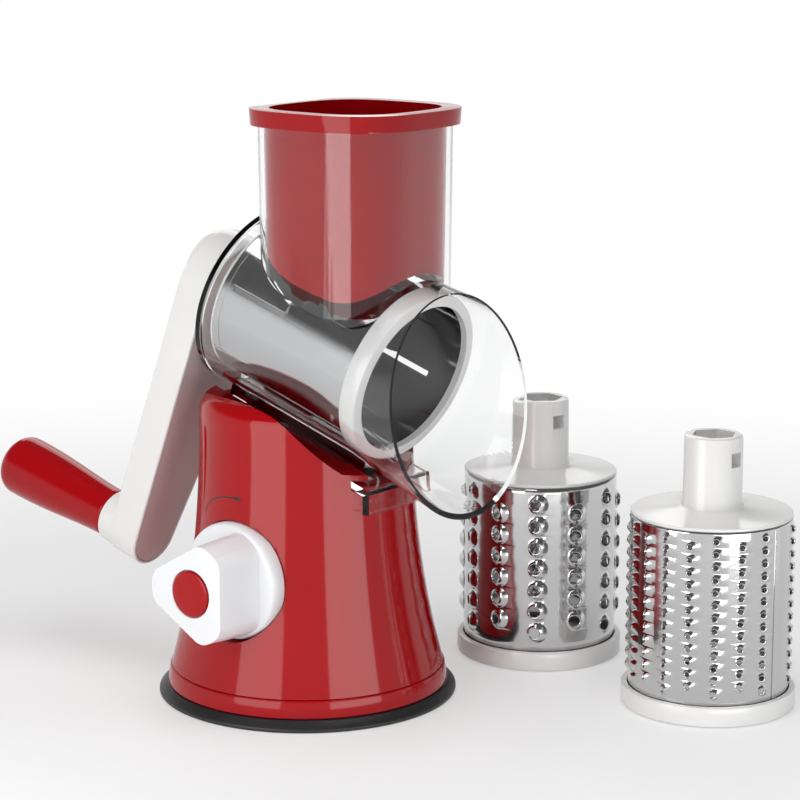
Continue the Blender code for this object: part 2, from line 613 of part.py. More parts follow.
def make_housing(axis, clear):
    """Barrel, back wall, sleeve, spout, chute and foot, all one clear moulding."""
    back_rim_front = BACK_WALL_BACK + BACK_RIM_WIDTH
    sleeve_radius = SLEEVE_BORE_RADIUS + SLEEVE_WALL
    outside = barrel_shape([(sleeve_radius, SLEEVE_END), (sleeve_radius, BACK_WALL_BACK),
                            (BACK_RIM_RADIUS, BACK_WALL_BACK), (BACK_RIM_RADIUS, back_rim_front),
                            (BARREL_RADIUS, back_rim_front), (BARREL_RADIUS, BARREL_FRONT)],
                           [spout_rim(SPOUT_RIM_RADIUS)])
    housing = add_object("clear_housing", outside, axis, clear)

    to_axis = AXIS_MATRIX.inverted()
    chute_foot = AXIS_HEIGHT - BARREL_RADIUS
    chute = chute_shape(CHUTE_HALF_WIDTH, chute_foot, CHUTE_TOP)
    boolean(housing, "UNION", upper_part(moved(chute, to_axis), OVERRUN), axis)

    foot_front = SPOUT_RIM_REACH
    neck_top = BARREL_BORE_RADIUS - 2 * OVERRUN
    neck = block((-NECK_HALF_WIDTH, -FOOT_TOP - FOOT_THICKNESS / 2, NECK_BACK),
                 (NECK_HALF_WIDTH, -neck_top, BARREL_FRONT))
    boolean(housing, "UNION", neck, axis)
    lip_back = flank_radius(LIP_BOTTOM) + RUNNING_GAP
    lip_front = lip_back + LIP_THICKNESS
    plate = block((-FOOT_HALF_WIDTH, -FOOT_FLOOR, FOOT_BACK), (FOOT_HALF_WIDTH, -FOOT_TOP, foot_front))
    boolean(housing, "UNION", behind_plane(plate, lip_front), axis)
    lip_top = plate_height(lip_front)
    lip_half_width = FOOT_HALF_WIDTH + SEAT_GAP
    lip = block((-lip_half_width, -lip_front - SEAT_GAP, LIP_BOTTOM),
                (lip_half_width, -lip_back, lip_top + SEAT_GAP))
    boolean(housing, "UNION", moved(lip, to_axis), axis)

    inner_rim = SPOUT_RIM_RADIUS - BARREL_WALL
    flare = (inner_rim - BARREL_BORE_RADIUS) / (SPOUT_RIM_REACH - BARREL_FRONT)
    inside = barrel_shape([(SLEEVE_BORE_RADIUS, SLEEVE_END - OVERRUN), (SLEEVE_BORE_RADIUS, BACK_WALL_FRONT),
                           (BARREL_BORE_RADIUS, BACK_WALL_FRONT), (BARREL_BORE_RADIUS, BARREL_FRONT)],
                          [spout_rim(inner_rim + OVERRUN * flare, OVERRUN)])
    boolean(housing, "DIFFERENCE", inside, axis)
    food_way = chute_shape(CHUTE_HALF_WIDTH - CHUTE_WALL, chute_foot, CHUTE_TOP + OVERRUN)
    boolean(housing, "DIFFERENCE", upper_part(moved(food_way, to_axis), 0), axis)


def plate_height(reach):
    """Height of the middle of the foot plate's front edge at a distance in front of the origin."""
    drop = FOOT_TOP
    along = (reach + drop * math.sin(TILT)) / math.cos(TILT)
    return AXIS_HEIGHT - along * math.sin(TILT) - drop * math.cos(TILT)


def behind_plane(mesh, reach):
    """Cuts off what lies in front of the upright plane at Y = -reach, in the drum axis's frame."""
    to_axis = AXIS_MATRIX.inverted()
    point = to_axis @ Vector((0, -reach, 0))
    normal = to_axis.to_3x3() @ Vector((0, -1, 0))
    cut_by_plane(mesh, point, normal)
    return mesh


def upper_part(mesh, height):
    """Keeps what lies above a plane through the drum axis."""
    cut_by_plane(mesh, Vector((0, height, 0)), Vector((0, -1, 0)))
    return mesh


def cut_by_plane(mesh, point, normal):
    """Cuts off the side that the normal points to, and closes the cut."""
    geometry = mesh.verts[:] + mesh.edges[:] + mesh.faces[:]
    bmesh.ops.bisect_plane(mesh, geom=geometry, dist=MERGE_DISTANCE, plane_co=point, plane_no=normal,
                           clear_outer=True)
    bmesh.ops.holes_fill(mesh, edges=[edge for edge in mesh.edges if edge.is_boundary])
    bmesh.ops.recalc_face_normals(mesh, faces=mesh.faces)


def chute_shape(half_width, low, high):
    """The chute's rounded square between two heights, wider at the top by the draft."""
    outline = [(x, y) for x, y in rounded_square(half_width - CHUTE_DRAFT)]
    mesh = prism(outline, low, high, half_width / (half_width - CHUTE_DRAFT))
    return moved(mesh, Matrix.Translation((0, CHUTE_CENTRE_Y, 0)))


def make_pusher(axis, red):
    """Hollow pusher, open at the top, with a saddle-shaped floor and a collar cut back where the crank passes."""
    collar_base = CHUTE_TOP + SEAT_GAP
    top = collar_base + PUSHER_COLLAR_HEIGHT
    low = AXIS_HEIGHT
    outer_half = CHUTE_HALF_WIDTH - CHUTE_WALL - RUNNING_GAP
    pusher = add_object("food_pusher", chute_shape(outer_half, low, collar_base + SEAT_GAP), None, red)
    collar = prism(rounded_square(CHUTE_HALF_WIDTH + PUSHER_COLLAR_OVERHANG, CHUTE_CENTRE_Y), collar_base, top)
    swing_front = AXIS_MATRIX @ Vector((0, 0, CRANK_FRONT + CRANK_CLEARANCE))
    cut_by_plane(collar, swing_front, AXIS_MATRIX.to_3x3() @ Vector((0, 0, -1)))
    boolean(pusher, "UNION", collar)
    inside = boolean(pusher, "DIFFERENCE", chute_shape(outer_half - PUSHER_WALL, low, top + OVERRUN))
    reach = 2 * CHUTE_HALF_WIDTH
    boolean(inside, "DIFFERENCE", drum_of(PUSHER_SADDLE_RADIUS + PUSHER_WALL, -reach, 2 * reach), axis)
    boolean(pusher, "DIFFERENCE", drum_of(PUSHER_SADDLE_RADIUS, -reach, 2 * reach), axis)


# Drums

def drum_tube():
    """The plain steel sleeve, seated in the ring and closed by the hub plate's lip."""
    low = DRUM_RING_LIP + SEAT_GAP
    high = DRUM_LENGTH - HUB_LIP - SEAT_GAP
    return turned([(DRUM_RADIUS - DRUM_SHEET, low), (DRUM_RADIUS, low), (DRUM_RADIUS, high),
                   (DRUM_RADIUS - DRUM_SHEET, high)], DRUM_SIDES)


def tooth_places(columns, rows, pitch):
    """Turn and height of each tooth; every other column is shifted by half a pitch and has one tooth less."""
    middle = (DRUM_RING_HEIGHT + DRUM_LENGTH) / 2
    for column in range(columns):
        count = rows - column % 2
        for row in range(count):
            yield math.tau * column / columns + math.radians(TOOTH_TURN_DEG), middle + (row - (count - 1) / 2) * pitch


def tooth_group(places, radius, top_radius, inner, outer, sides):
    """One stud at each place, standing across the drum's wall."""
    studs = []
    for turn, height in places:
        stud = turned([(0, inner), (radius, inner), (top_radius, outer), (0, outer)], sides)
        upright = Matrix.Translation((0, 0, height)) @ Matrix.Rotation(turn, 4, "Z")
        studs.append(moved(stud, upright @ Matrix.Rotation(math.pi / 2, 4, "Y")))
    return joined(studs)


def make_ring_mesh(white):
    """White front ring with a lip inside and a seat for the sleeve."""
    seat = DRUM_RADIUS + SEAT_GAP
    edge = DRUM_RING_LIP / 2
    item = turned([(DRUM_OUTLET_RADIUS, 0), (DRUM_RING_RADIUS - edge, 0), (DRUM_RING_RADIUS, edge),
                   (DRUM_RING_RADIUS, DRUM_RING_HEIGHT - edge / 2), (DRUM_RING_RADIUS - edge / 2, DRUM_RING_HEIGHT),
                   (seat, DRUM_RING_HEIGHT), (seat, DRUM_RING_LIP), (DRUM_OUTLET_RADIUS, DRUM_RING_LIP)],
                  DRUM_SIDES)
    return item


def make_hub(name, parent, white, shared=None):
    """Back plate that plugs the sleeve, with a hollow hexagonal drive stem and two windows in it."""
    if shared:
        return add_object(name, shared, parent)
    plug_radius = DRUM_RADIUS - DRUM_SHEET - SEAT_GAP
    face = DRUM_LENGTH + HUB_RISE
    stem_top = face + STEM_LENGTH
    plug_low = DRUM_LENGTH - HUB_LIP - HUB_THICKNESS
    chamfer = HUB_LIP
    hub = turned([(0, plug_low), (plug_radius, plug_low), (plug_radius, DRUM_LENGTH - HUB_LIP),
                  (DRUM_RADIUS, DRUM_LENGTH - HUB_LIP), (DRUM_RADIUS, DRUM_LENGTH), (STEM_RADIUS + HUB_RISE, face),
                  (STEM_RADIUS, face), (STEM_RADIUS, stem_top - chamfer), (STEM_RADIUS - chamfer, stem_top),
                  (0, stem_top)], DRUM_SIDES)
    item = add_object(name, hub, parent, white)
    hexagon = drum_of(STEM_HEX_RADIUS, face - HUB_RISE, stem_top + OVERRUN, 6)
    boolean(item, "DIFFERENCE", hexagon, parent)
    window_top = stem_top - STEM_WINDOW_DROP
    half = STEM_WINDOW / 2
    window = block((-2 * STEM_RADIUS, -half, window_top - STEM_WINDOW), (2 * STEM_RADIUS, half, window_top))
    boolean(item, "DIFFERENCE", window, parent)
    return item


def make_drums(crank_frame, white, steel):
    """The slicer drum in the machine, and the coarse and the fine drum beside it."""
    slicer = add_frame("slicer_frame", crank_frame, (0, 0, DRUM_FRONT), (math.pi, 0, 0))
    coarse = add_frame("coarse_frame", None, (COARSE_X, COARSE_Y, 0), (0, 0, math.radians(COARSE_TURN_DEG)))
    fine = add_frame("fine_frame", None, (FINE_X, FINE_Y, 0), (0, 0, math.radians(FINE_TURN_DEG)))

    ring = add_object("slicer_drum_ring", make_ring_mesh(white), slicer, white)
    add_object("coarse_drum_ring", ring.data, coarse)
    add_object("fine_drum_ring", ring.data, fine)
    make_hub("slicer_drum_hub", slicer, white)
    for kind, x, y, turn_deg in (("coarse", COARSE_X, COARSE_Y, COARSE_HUB_TURN_DEG),
                                 ("fine", FINE_X, FINE_Y, FINE_HUB_TURN_DEG)):
        make_hub(kind + "_drum_hub", add_frame(kind + "_hub_frame", None, (x, y, 0), (0, 0, math.radians(turn_deg))),
                 white)

    inner = DRUM_RADIUS - DRUM_SHEET
    coarse_places = list(tooth_places(COARSE_COLUMNS, COARSE_ROWS, COARSE_PITCH))
    shell = add_object("coarse_drum_shell", drum_tube(), coarse, steel)
    boolean(shell, "UNION", tooth_group(coarse_places, COARSE_TOOTH_RADIUS, COARSE_HOLE_RADIUS + DRUM_SHEET / 2,
                                        inner + DRUM_SHEET / 2, DRUM_RADIUS + COARSE_TOOTH_HEIGHT,
                                        COARSE_TOOTH_SIDES), coarse)
    boolean(shell, "DIFFERENCE", tooth_group(coarse_places, COARSE_HOLE_RADIUS, COARSE_HOLE_RADIUS,
                                             inner - OVERRUN, DRUM_RADIUS + 2 * COARSE_TOOTH_HEIGHT,
                                             COARSE_TOOTH_SIDES), coarse)

    # The last column stays plain beside the seam where the sheet's ends lap
    fine_places = [place for place in tooth_places(FINE_COLUMNS, FINE_ROWS, FINE_PITCH)
                   if place[0] < math.tau * (FINE_COLUMNS - 1) / FINE_COLUMNS]
    shell = add_object("fine_drum_shell", drum_tube(), fine, steel)
    boolean(shell, "UNION", tooth_group(fine_places, FINE_TOOTH_RADIUS, 0, inner + DRUM_SHEET / 2,
                                        DRUM_RADIUS + FINE_TOOTH_HEIGHT, FINE_TOOTH_SIDES), fine)
    seam = block((inner + DRUM_SHEET / 2, -FINE_SEAM_WIDTH / 2, DRUM_RING_HEIGHT + SEAT_GAP),
                 (DRUM_RADIUS + FINE_SEAM_RISE, FINE_SEAM_WIDTH / 2, DRUM_LENGTH - HUB_LIP - 2 * SEAT_GAP))
    boolean(shell, "UNION", moved(seam, Matrix.Rotation(math.radians(FINE_SEAM_TURN_DEG), 4, "Z")), fine)

    shell = add_object("slicer_drum_shell", drum_tube(), slicer, steel)
    blades = []
    slots = []
    middle = (DRUM_RING_HEIGHT + DRUM_LENGTH) / 2
    for number in range(SLICER_SLOTS):
        centre = middle + (number % 2 - 0.5) * SLOT_STAGGER
        turn = Matrix.Rotation(math.tau * number / SLICER_SLOTS + math.radians(SLOT_TURN_DEG), 4, "Z")
        low = centre - SLOT_LENGTH / 2
        high = centre + SLOT_LENGTH / 2
        wedge = prism([(inner + DRUM_SHEET / 2, 0), (DRUM_RADIUS + BLADE_RISE, 0),
                       (DRUM_RADIUS - DRUM_SHEET / 2, BLADE_WIDTH)], low, high)
        blades.append(moved(wedge, turn))
        slot = block((inner - OVERRUN, -SLOT_WIDTH, low), (DRUM_RADIUS + 2 * BLADE_RISE, -SEAT_GAP, high))
        slots.append(moved(slot, turn))
    boolean(shell, "UNION", joined(blades), slicer)
    boolean(shell, "DIFFERENCE", joined(slots), slicer)


# Crank

def make_crank(crank_frame, white, grey, red, steel):
    """Arm with hub, socket and drive plug, its cover, and the grip on its pin."""
    arm = add_object("crank_arm", prism(arm_outline(), CRANK_BACK, CRANK_FRONT), crank_frame, white)
    collar_overlap = CRANK_THICKNESS / 2
    boolean(arm, "UNION", drum_of(CRANK_COLLAR_RADIUS, CRANK_FRONT - collar_overlap, CRANK_COLLAR_FRONT),
            crank_frame)
    back_edge = CRANK_BACK_BOSS_HEIGHT / 4
    boolean(arm, "UNION", turned([(0, CRANK_BOSS_BACK), (CRANK_BACK_BOSS_RADIUS - back_edge, CRANK_BOSS_BACK),
                                  (CRANK_BACK_BOSS_RADIUS, CRANK_BOSS_BACK + back_edge),
                                  (CRANK_BACK_BOSS_RADIUS, CRANK_BACK + collar_overlap),
                                  (0, CRANK_BACK + collar_overlap)]), crank_frame)
    grip_frame = add_frame("grip_frame", crank_frame, (0, -CRANK_LENGTH, CRANK_BACK),
                           (math.radians(-GRIP_LEAN_DEG), 0, 0))
    boss = turned([(0, -GRIP_BOSS_HEIGHT), (GRIP_BOSS_END_RADIUS, -GRIP_BOSS_HEIGHT), (GRIP_BOSS_RADIUS, 0),
                   (GRIP_BOSS_RADIUS, collar_overlap), (0, collar_overlap)], SMALL_ROUND_SIDES)
    boolean(arm, "UNION", boss, grip_frame)
    socket_back = STEM_END - RUNNING_GAP
    boolean(arm, "DIFFERENCE", drum_of(SLEEVE_BORE_RADIUS, socket_back, CRANK_COLLAR_FRONT + OVERRUN), crank_frame)
    plug = drum_of(STEM_HEX_RADIUS - RUNNING_GAP, CRANK_BOSS_BACK + CRANK_SOCKET_FLOOR, CRANK_COLLAR_FRONT, 6)
    boolean(arm, "UNION", plug, crank_frame, (0, 0, 0), (0, 0, 0))

    # Recess of the cover and hole of the grip's pin
    cover_back = CRANK_FRONT - COVER_THICKNESS
    recess = prism(arm_outline(COVER_INSET), cover_back - SEAT_GAP, CRANK_FRONT + OVERRUN)
    keep = boolean(arm, "DIFFERENCE", recess, crank_frame)
    boolean(keep, "DIFFERENCE", drum_of(CRANK_COLLAR_RADIUS, cover_back - OVERRUN, CRANK_FRONT + 2 * OVERRUN),
            crank_frame)
    pin_end = GRIP_PIN_IN_ARM - GRIP_BOSS_HEIGHT
    boolean(arm, "DIFFERENCE", drum_of(GRIP_PIN_RADIUS + SEAT_GAP, -GRIP_BOSS_HEIGHT - OVERRUN, pin_end + SEAT_GAP,
                                       FINE_ROUND_SIDES), grip_frame)

    cover = add_object("arm_cover", prism(arm_outline(COVER_INSET + SEAT_GAP), cover_back, CRANK_FRONT),
                       crank_frame, grey)
    boolean(cover, "DIFFERENCE", drum_of(CRANK_COLLAR_RADIUS + SEAT_GAP, cover_back - OVERRUN,
                                         CRANK_FRONT + OVERRUN), crank_frame)

    grip_front = -GRIP_BOSS_HEIGHT - RUNNING_GAP
    grip_back = grip_front - GRIP_LENGTH
    head_front = grip_back + GRIP_CAP_THICKNESS + SEAT_GAP + GRIP_PIN_HEAD_HEIGHT
    grip = add_object("crank_grip", turned(grip_profile(grip_front, grip_back), SMALL_ROUND_SIDES), grip_frame, red)
    boolean(grip, "DIFFERENCE", drum_of(GRIP_PIN_RADIUS + RUNNING_GAP, grip_back, grip_front + OVERRUN,
                                        FINE_ROUND_SIDES), grip_frame)
    boolean(grip, "DIFFERENCE", drum_of(GRIP_PIN_HEAD_RADIUS + RUNNING_GAP, grip_back, head_front + SEAT_GAP,
                                        SMALL_ROUND_SIDES), grip_frame)
    cap_front = grip_back + GRIP_CAP_THICKNESS
    boolean(grip, "DIFFERENCE", drum_of(GRIP_CAP_RADIUS + SEAT_GAP, grip_back - OVERRUN, cap_front + SEAT_GAP / 2,
                                        SMALL_ROUND_SIDES), grip_frame)
    add_object("grip_cap", drum_of(GRIP_CAP_RADIUS, grip_back, cap_front, SMALL_ROUND_SIDES), grip_frame, red)
    head_back = cap_front + SEAT_GAP
    pin = turned([(0, head_back), (GRIP_PIN_HEAD_RADIUS, head_back), (GRIP_PIN_HEAD_RADIUS, head_front),
                  (GRIP_PIN_RADIUS, head_front), (GRIP_PIN_RADIUS, pin_end), (0, pin_end)], FINE_ROUND_SIDES)
    add_object("grip_pin", pin, grip_frame, steel)


def grip_profile(front, back):
    """Half section of the grip: narrow at the arm, swelling to a round end."""
    points = [(0, back)]
    end_round = GRIP_END_RADIUS / 2
    flat = GRIP_END_RADIUS - end_round
    for step in range(4):
        angle = math.pi / 2 * step / 4
        points.append((flat + end_round * math.sin(angle), back + end_round * (1 - math.cos(angle))))
    for step in range(GRIP_STEPS + 1):
        share = step / GRIP_STEPS
        height = back + end_round + (front - back - end_round) * share
        swell = 0.5 + 0.5 * math.cos(math.pi * share ** 1.15)
        points.append((GRIP_ROOT_RADIUS + (GRIP_END_RADIUS - GRIP_ROOT_RADIUS) * swell, height))
    points.append((0, front))
    return points


def build():
    """Clears the scene and makes the whole grater."""
    for item in list(bpy.data.objects):
        bpy.data.objects.remove(item, do_unlink=True)
    red = plastic("red_plastic", (0.55, 0.006, 0.012), 0.18)
    white = plastic("white_plastic", (0.86, 0.86, 0.85), 0.28)
    grey = plastic("warm_grey_plastic", (0.52, 0.40, 0.39), 0.35)
    black = plastic("black_rubber", (0.012, 0.012, 0.013), 0.5)
    clear = plastic("clear_plastic", (0.95, 0.96, 0.97), 0.05, 1.0)
    steel = metal("polished_steel", (0.72, 0.72, 0.73), 0.18)

    axis = add_frame("drum_axis", None, (0, 0, AXIS_HEIGHT), (math.pi / 2 + TILT, 0, 0))
    crank_frame = add_frame("crank_frame", axis, (0, 0, 0), (0, 0, -math.radians(CRANK_REST_DEG)))
    make_base(axis, red, black, white, steel)
    make_suction(white, red, steel)
    make_housing(axis, clear)
    make_pusher(axis, red)
    make_drums(crank_frame, white, steel)
    make_crank(crank_frame, white, grey, red, steel)


build()
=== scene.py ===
import json
import math

import bmesh
import bpy
from mathutils import Matrix, Vector


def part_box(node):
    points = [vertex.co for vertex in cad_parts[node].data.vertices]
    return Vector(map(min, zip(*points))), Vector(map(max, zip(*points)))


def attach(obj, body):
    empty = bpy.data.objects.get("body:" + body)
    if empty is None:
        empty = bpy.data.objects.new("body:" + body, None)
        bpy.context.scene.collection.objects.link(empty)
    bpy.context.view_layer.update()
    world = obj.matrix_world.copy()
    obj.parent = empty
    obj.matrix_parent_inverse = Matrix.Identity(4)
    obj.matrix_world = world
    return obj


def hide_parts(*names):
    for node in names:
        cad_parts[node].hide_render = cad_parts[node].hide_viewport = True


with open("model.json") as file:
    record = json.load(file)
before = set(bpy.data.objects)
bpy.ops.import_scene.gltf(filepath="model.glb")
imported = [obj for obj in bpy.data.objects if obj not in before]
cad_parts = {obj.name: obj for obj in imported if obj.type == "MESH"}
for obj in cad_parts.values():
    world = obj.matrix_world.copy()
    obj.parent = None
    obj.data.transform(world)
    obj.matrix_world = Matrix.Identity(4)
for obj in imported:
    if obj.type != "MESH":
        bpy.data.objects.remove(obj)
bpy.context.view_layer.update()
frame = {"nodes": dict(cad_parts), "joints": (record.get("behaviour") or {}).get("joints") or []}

joints = {joint["name"]: joint for joint in frame["joints"]}


# Table and studio light.  The grater stands on a pale table that runs out into a white wall.  Two low soft
# boxes left and right of the camera draw the upright pink bands on the red plastic; two more, behind and
# above, fill the shadows.
TABLE_HALF = 12.0
TABLE_DROP = 0.0002
TABLE_COLOUR = (0.90, 0.90, 0.905, 1)
WHITE = (1, 1, 1, 1)
FADE_FROM, FADE_TO, FADE_LEAST = 0.10, 0.70, 0.35
WALL_TOP, CEILING_FROM, CEILING_LEVEL = 0.15, 0.45, 0.13
UNSEEN_LEVEL = 0.42
LAMP_AIM = Vector((0, 0, 0.10))
CAMERA_SPOT = Vector((-0.82247, -0.69460, 0.35144))
CAMERA_AIM = Vector((0.024956, -0.031912, 0.128107))
LENS_MM, FILM_MM = 114.93, 36


def linked(material):
    """The nodes, the links and the shader of a new material."""
    material.use_nodes = True
    tree = material.node_tree
    return tree.nodes, tree.links, tree.nodes.get("Principled BSDF")


def combined(nodes, links, operation, first, second):
    """One value worked out from two."""
    step = nodes.new("ShaderNodeMath")
    step.operation = operation
    links.new(first, step.inputs[0])
    links.new(second, step.inputs[1])
    return step.outputs[0]


def seen_directly(nodes, links):
    """One where the camera, a reflection or a clear wall looks at this surface, and zero for its light."""
    path = nodes.new("ShaderNodeLightPath")
    total = path.outputs["Is Camera Ray"]
    for name in ("Is Glossy Ray", "Is Transmission Ray"):
        total = combined(nodes, links, "MAXIMUM", total, path.outputs[name])
    return total


def ramp(nodes, links, value, low, high, start=0.0, end=1.0, kind="LINEAR"):
    """A value that runs from low to high while another runs from start to end."""
    step = nodes.new("ShaderNodeMapRange")
    step.interpolation_type = kind
    for name, setting in (("From Min", start), ("From Max", end), ("To Min", low), ("To Max", high)):
        step.inputs[name].default_value = setting
    links.new(value, step.inputs["Value"])
    return step.outputs["Result"]


table = bmesh.new()
bmesh.ops.create_grid(table, x_segments=1, y_segments=1, size=TABLE_HALF)
bmesh.ops.translate(table, verts=table.verts, vec=(0, 0, -TABLE_DROP))
table_data = bpy.data.meshes.new("table")
table.to_mesh(table_data)
table.free()
table_object = bpy.data.objects.new("table", table_data)
bpy.context.scene.collection.objects.link(table_object)
laminate = bpy.data.materials.new("pale_laminate")
nodes, links, shader = linked(laminate)
nodes.remove(shader)
matte = nodes.new("ShaderNodeBsdfDiffuse")
matte.inputs["Color"].default_value = TABLE_COLOUR
white = nodes.new("ShaderNodeEmission")
white.inputs["Color"].default_value = WHITE
place = nodes.new("ShaderNodeTexCoord")
reach = nodes.new("ShaderNodeVectorMath")
reach.operation = "LENGTH"
links.new(place.outputs["Object"], reach.inputs[0])
fade = ramp(nodes, links, reach.outputs["Value"], FADE_LEAST, 1.0, FADE_FROM, FADE_TO, "SMOOTHSTEP")
blend = nodes.new("ShaderNodeMixShader")
links.new(combined(nodes, links, "MULTIPLY", fade, seen_directly(nodes, links)), blend.inputs["Fac"])
links.new(matte.outputs["BSDF"], blend.inputs[1])
links.new(white.outputs["Emission"], blend.inputs[2])
links.new(blend.outputs["Shader"], nodes["Material Output"].inputs["Surface"])
table_data.materials.append(laminate)

world = bpy.data.worlds.new("studio")
bpy.context.scene.world = world
world.use_nodes = True
nodes, links = world.node_tree.nodes, world.node_tree.links
room = nodes["Background"]
place = nodes.new("ShaderNodeTexCoord")
split = nodes.new("ShaderNodeSeparateXYZ")
links.new(place.outputs["Generated"], split.inputs["Vector"])
ceiling = ramp(nodes, links, split.outputs["Z"], 1.0, CEILING_LEVEL, WALL_TOP, CEILING_FROM, "SMOOTHSTEP")
level = ramp(nodes, links, seen_directly(nodes, links), UNSEEN_LEVEL, 1.0)
links.new(combined(nodes, links, "MULTIPLY", ceiling, level), room.inputs["Strength"])
room.inputs["Color"].default_value = WHITE

for name, turn_deg, distance, height, width, tall, radiance in (
        ("left_box", 181, 0.42, 0.155, 0.29, 0.30, 3.2),
        ("right_box", 257, 0.42, 0.050, 0.31, 0.095, 4.0),
        ("back_box", 40, 1.60, 1.05, 1.20, 0.80, 2.0),
        ("top_box", 220, 0.30, 1.30, 1.20, 1.20, 2.5)):
    lamp = bpy.data.lights.new(name, "AREA")
    lamp.shape = "RECTANGLE"
    lamp.size, lamp.size_y = width, tall
    lamp.energy = radiance * math.pi * width * tall
    lamp_object = bpy.data.objects.new(name, lamp)
    bpy.context.scene.collection.objects.link(lamp_object)
    turn = math.radians(turn_deg)
    spot = Vector((distance * math.cos(turn), distance * math.sin(turn), height))
    lamp_object.location = spot
    lamp_object.rotation_euler = (LAMP_AIM - spot).to_track_quat("-Z", "Y").to_euler()
    lamp_object.visible_camera = False
    lamp_object.visible_glossy = name != "top_box"

camera_data = bpy.data.cameras.new("camera")
camera_data.lens = LENS_MM
camera_data.sensor_width = FILM_MM
camera = bpy.data.objects.new("camera", camera_data)
bpy.context.scene.collection.objects.link(camera)
camera.location = CAMERA_SPOT
camera.rotation_euler = (CAMERA_AIM - camera.location).to_track_quat("-Z", "Y").to_euler()
bpy.context.scene.camera = camera
bpy.context.scene.view_settings.view_transform = "Standard"


# Suction pad.  A disc of soft black rubber under the base, thick at its rim, that the knob draws up to hold
# the machine on the table.  It is moulded in one piece, and its rim shows below the foot ring.
MERGE = 0.000001
SMOOTH_DEG = 38
PAD_RADIUS = 0.0650
PAD_TOP_RADIUS = 0.0615
PAD_HEIGHT = 0.0045


def turned(points, steps=144):
    """A piece turned about Z from (radius, height) points, closed on the axis or as a ring."""
    mesh = bmesh.new()
    verts = [mesh.verts.new((radius, 0, height)) for radius, height in points]
    edges = [mesh.edges.new(pair) for pair in zip(verts, verts[1:])]
    if points[0][0] > 0:
        edges.append(mesh.edges.new((verts[-1], verts[0])))
    bmesh.ops.spin(mesh, geom=verts + edges, cent=(0, 0, 0), axis=(0, 0, 1),
                   angle=math.tau, steps=steps, use_merge=True)
    bmesh.ops.remove_doubles(mesh, verts=mesh.verts, dist=MERGE)
    bmesh.ops.recalc_face_normals(mesh, faces=mesh.faces)
    return mesh


def soften(mesh, width, segments=3, edges=None):
    """Rounds the sharp edges, as a mould's polished edge leaves them."""
    if edges is None:
        edges = [edge for edge in mesh.edges if edge.calc_face_angle(0) > math.radians(32)]
    bmesh.ops.bevel(mesh, geom=edges, offset=width, segments=segments, profile=0.5, affect="EDGES",
                    material=-1, clamp_overlap=True)
    return mesh


def made(name, mesh, material, body, nodes_replaced, place=None):
    """The finished piece: its mesh in place, smooth but for its real edges, riding on its body."""
    if place is not None:
        bmesh.ops.transform(mesh, matrix=place, verts=mesh.verts)
    data = bpy.data.meshes.new(name)
    mesh.to_mesh(data)
    mesh.free()
    data.shade_smooth()
    data.set_sharp_from_angle(angle=math.radians(SMOOTH_DEG))
    data.materials.append(material)
    item = bpy.data.objects.new(name, data)
    bpy.context.scene.collection.objects.link(item)
    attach(item, body)
    if nodes_replaced:
        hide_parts(*nodes_replaced)
    return item


def finish_of(name, colour, tint, roughness, grain=900, depth=0.00002, cloud=22, metallic=0.0,
              stretch=(1, 1, 1)):
    """A surface with faint clouds in its colour, uneven gloss and a fine grain."""
    material = bpy.data.materials.new(name)
    nodes, links, shader = linked(material)
    shader.inputs["Metallic"].default_value = metallic
    place = nodes.new("ShaderNodeTexCoord")
    mapping = nodes.new("ShaderNodeMapping")
    mapping.inputs["Scale"].default_value = stretch
    links.new(place.outputs["Object"], mapping.inputs["Vector"])

    def noise(scale, detail):
        texture = nodes.new("ShaderNodeTexNoise")
        texture.inputs["Scale"].default_value = scale
        texture.inputs["Detail"].default_value = detail
        links.new(mapping.outputs["Vector"], texture.inputs["Vector"])
        return texture.outputs["Fac"]

    clouds = noise(cloud, 4)
    mix = nodes.new("ShaderNodeMix")
    mix.data_type = "RGBA"
    colours = [socket for socket in mix.inputs if socket.type == "RGBA"]
    colours[0].default_value = (*colour, 1)
    colours[1].default_value = (*tint, 1)
    links.new(clouds, mix.inputs["Factor"])
    mixed = [socket for socket in mix.outputs if socket.type == "RGBA"][0]
    links.new(mixed, shader.inputs["Base Color"])
    links.new(ramp(nodes, links, clouds, roughness * 0.8, roughness * 1.25), shader.inputs["Roughness"])
    bump = nodes.new("ShaderNodeBump")
    bump.inputs["Strength"].default_value = 0.35
    bump.inputs["Distance"].default_value = depth
    links.new(noise(grain, 2), bump.inputs["Height"])
    links.new(bump.outputs["Normal"], shader.inputs["Normal"])
    return material


black_rubber = finish_of("black_rubber", (0.010, 0.010, 0.011), (0.022, 0.022, 0.024), 0.42, 1400, 0.00006)
pad = turned([(0, 0.0006), (0.0560, 0.0004), (PAD_RADIUS, 0), (PAD_RADIUS, 0.0014), (0.0630, 0.0034),
              (PAD_TOP_RADIUS, PAD_HEIGHT), (0, PAD_HEIGHT)])
made("rubber_pad", soften(pad, 0.0003, 2), black_rubber, "base", ["suction_pad"])


# Foot ring.  A flat ring of the same red plastic as the body, screwed to it from below, with the pad held
# under it.  A fine dark joint parts it from the body.
RING_LOW, RING_HIGH = 0.0048, 0.0124
RING_BORE = 0.0440
RING_FOOT_RADIUS, RING_TOP_RADIUS = 0.0612, 0.0600
SCREW_CIRCLE = 0.0490
SCREW_HOLE = 0.0019
SCREW_SINK_RADIUS, SCREW_SINK_TOP = 0.0035, 0.0073
UNDER_RING, OVER_RING = 0.0030, 0.0140
TOOL_TURN = Matrix.Rotation(math.radians(1.1), 4, "Z")

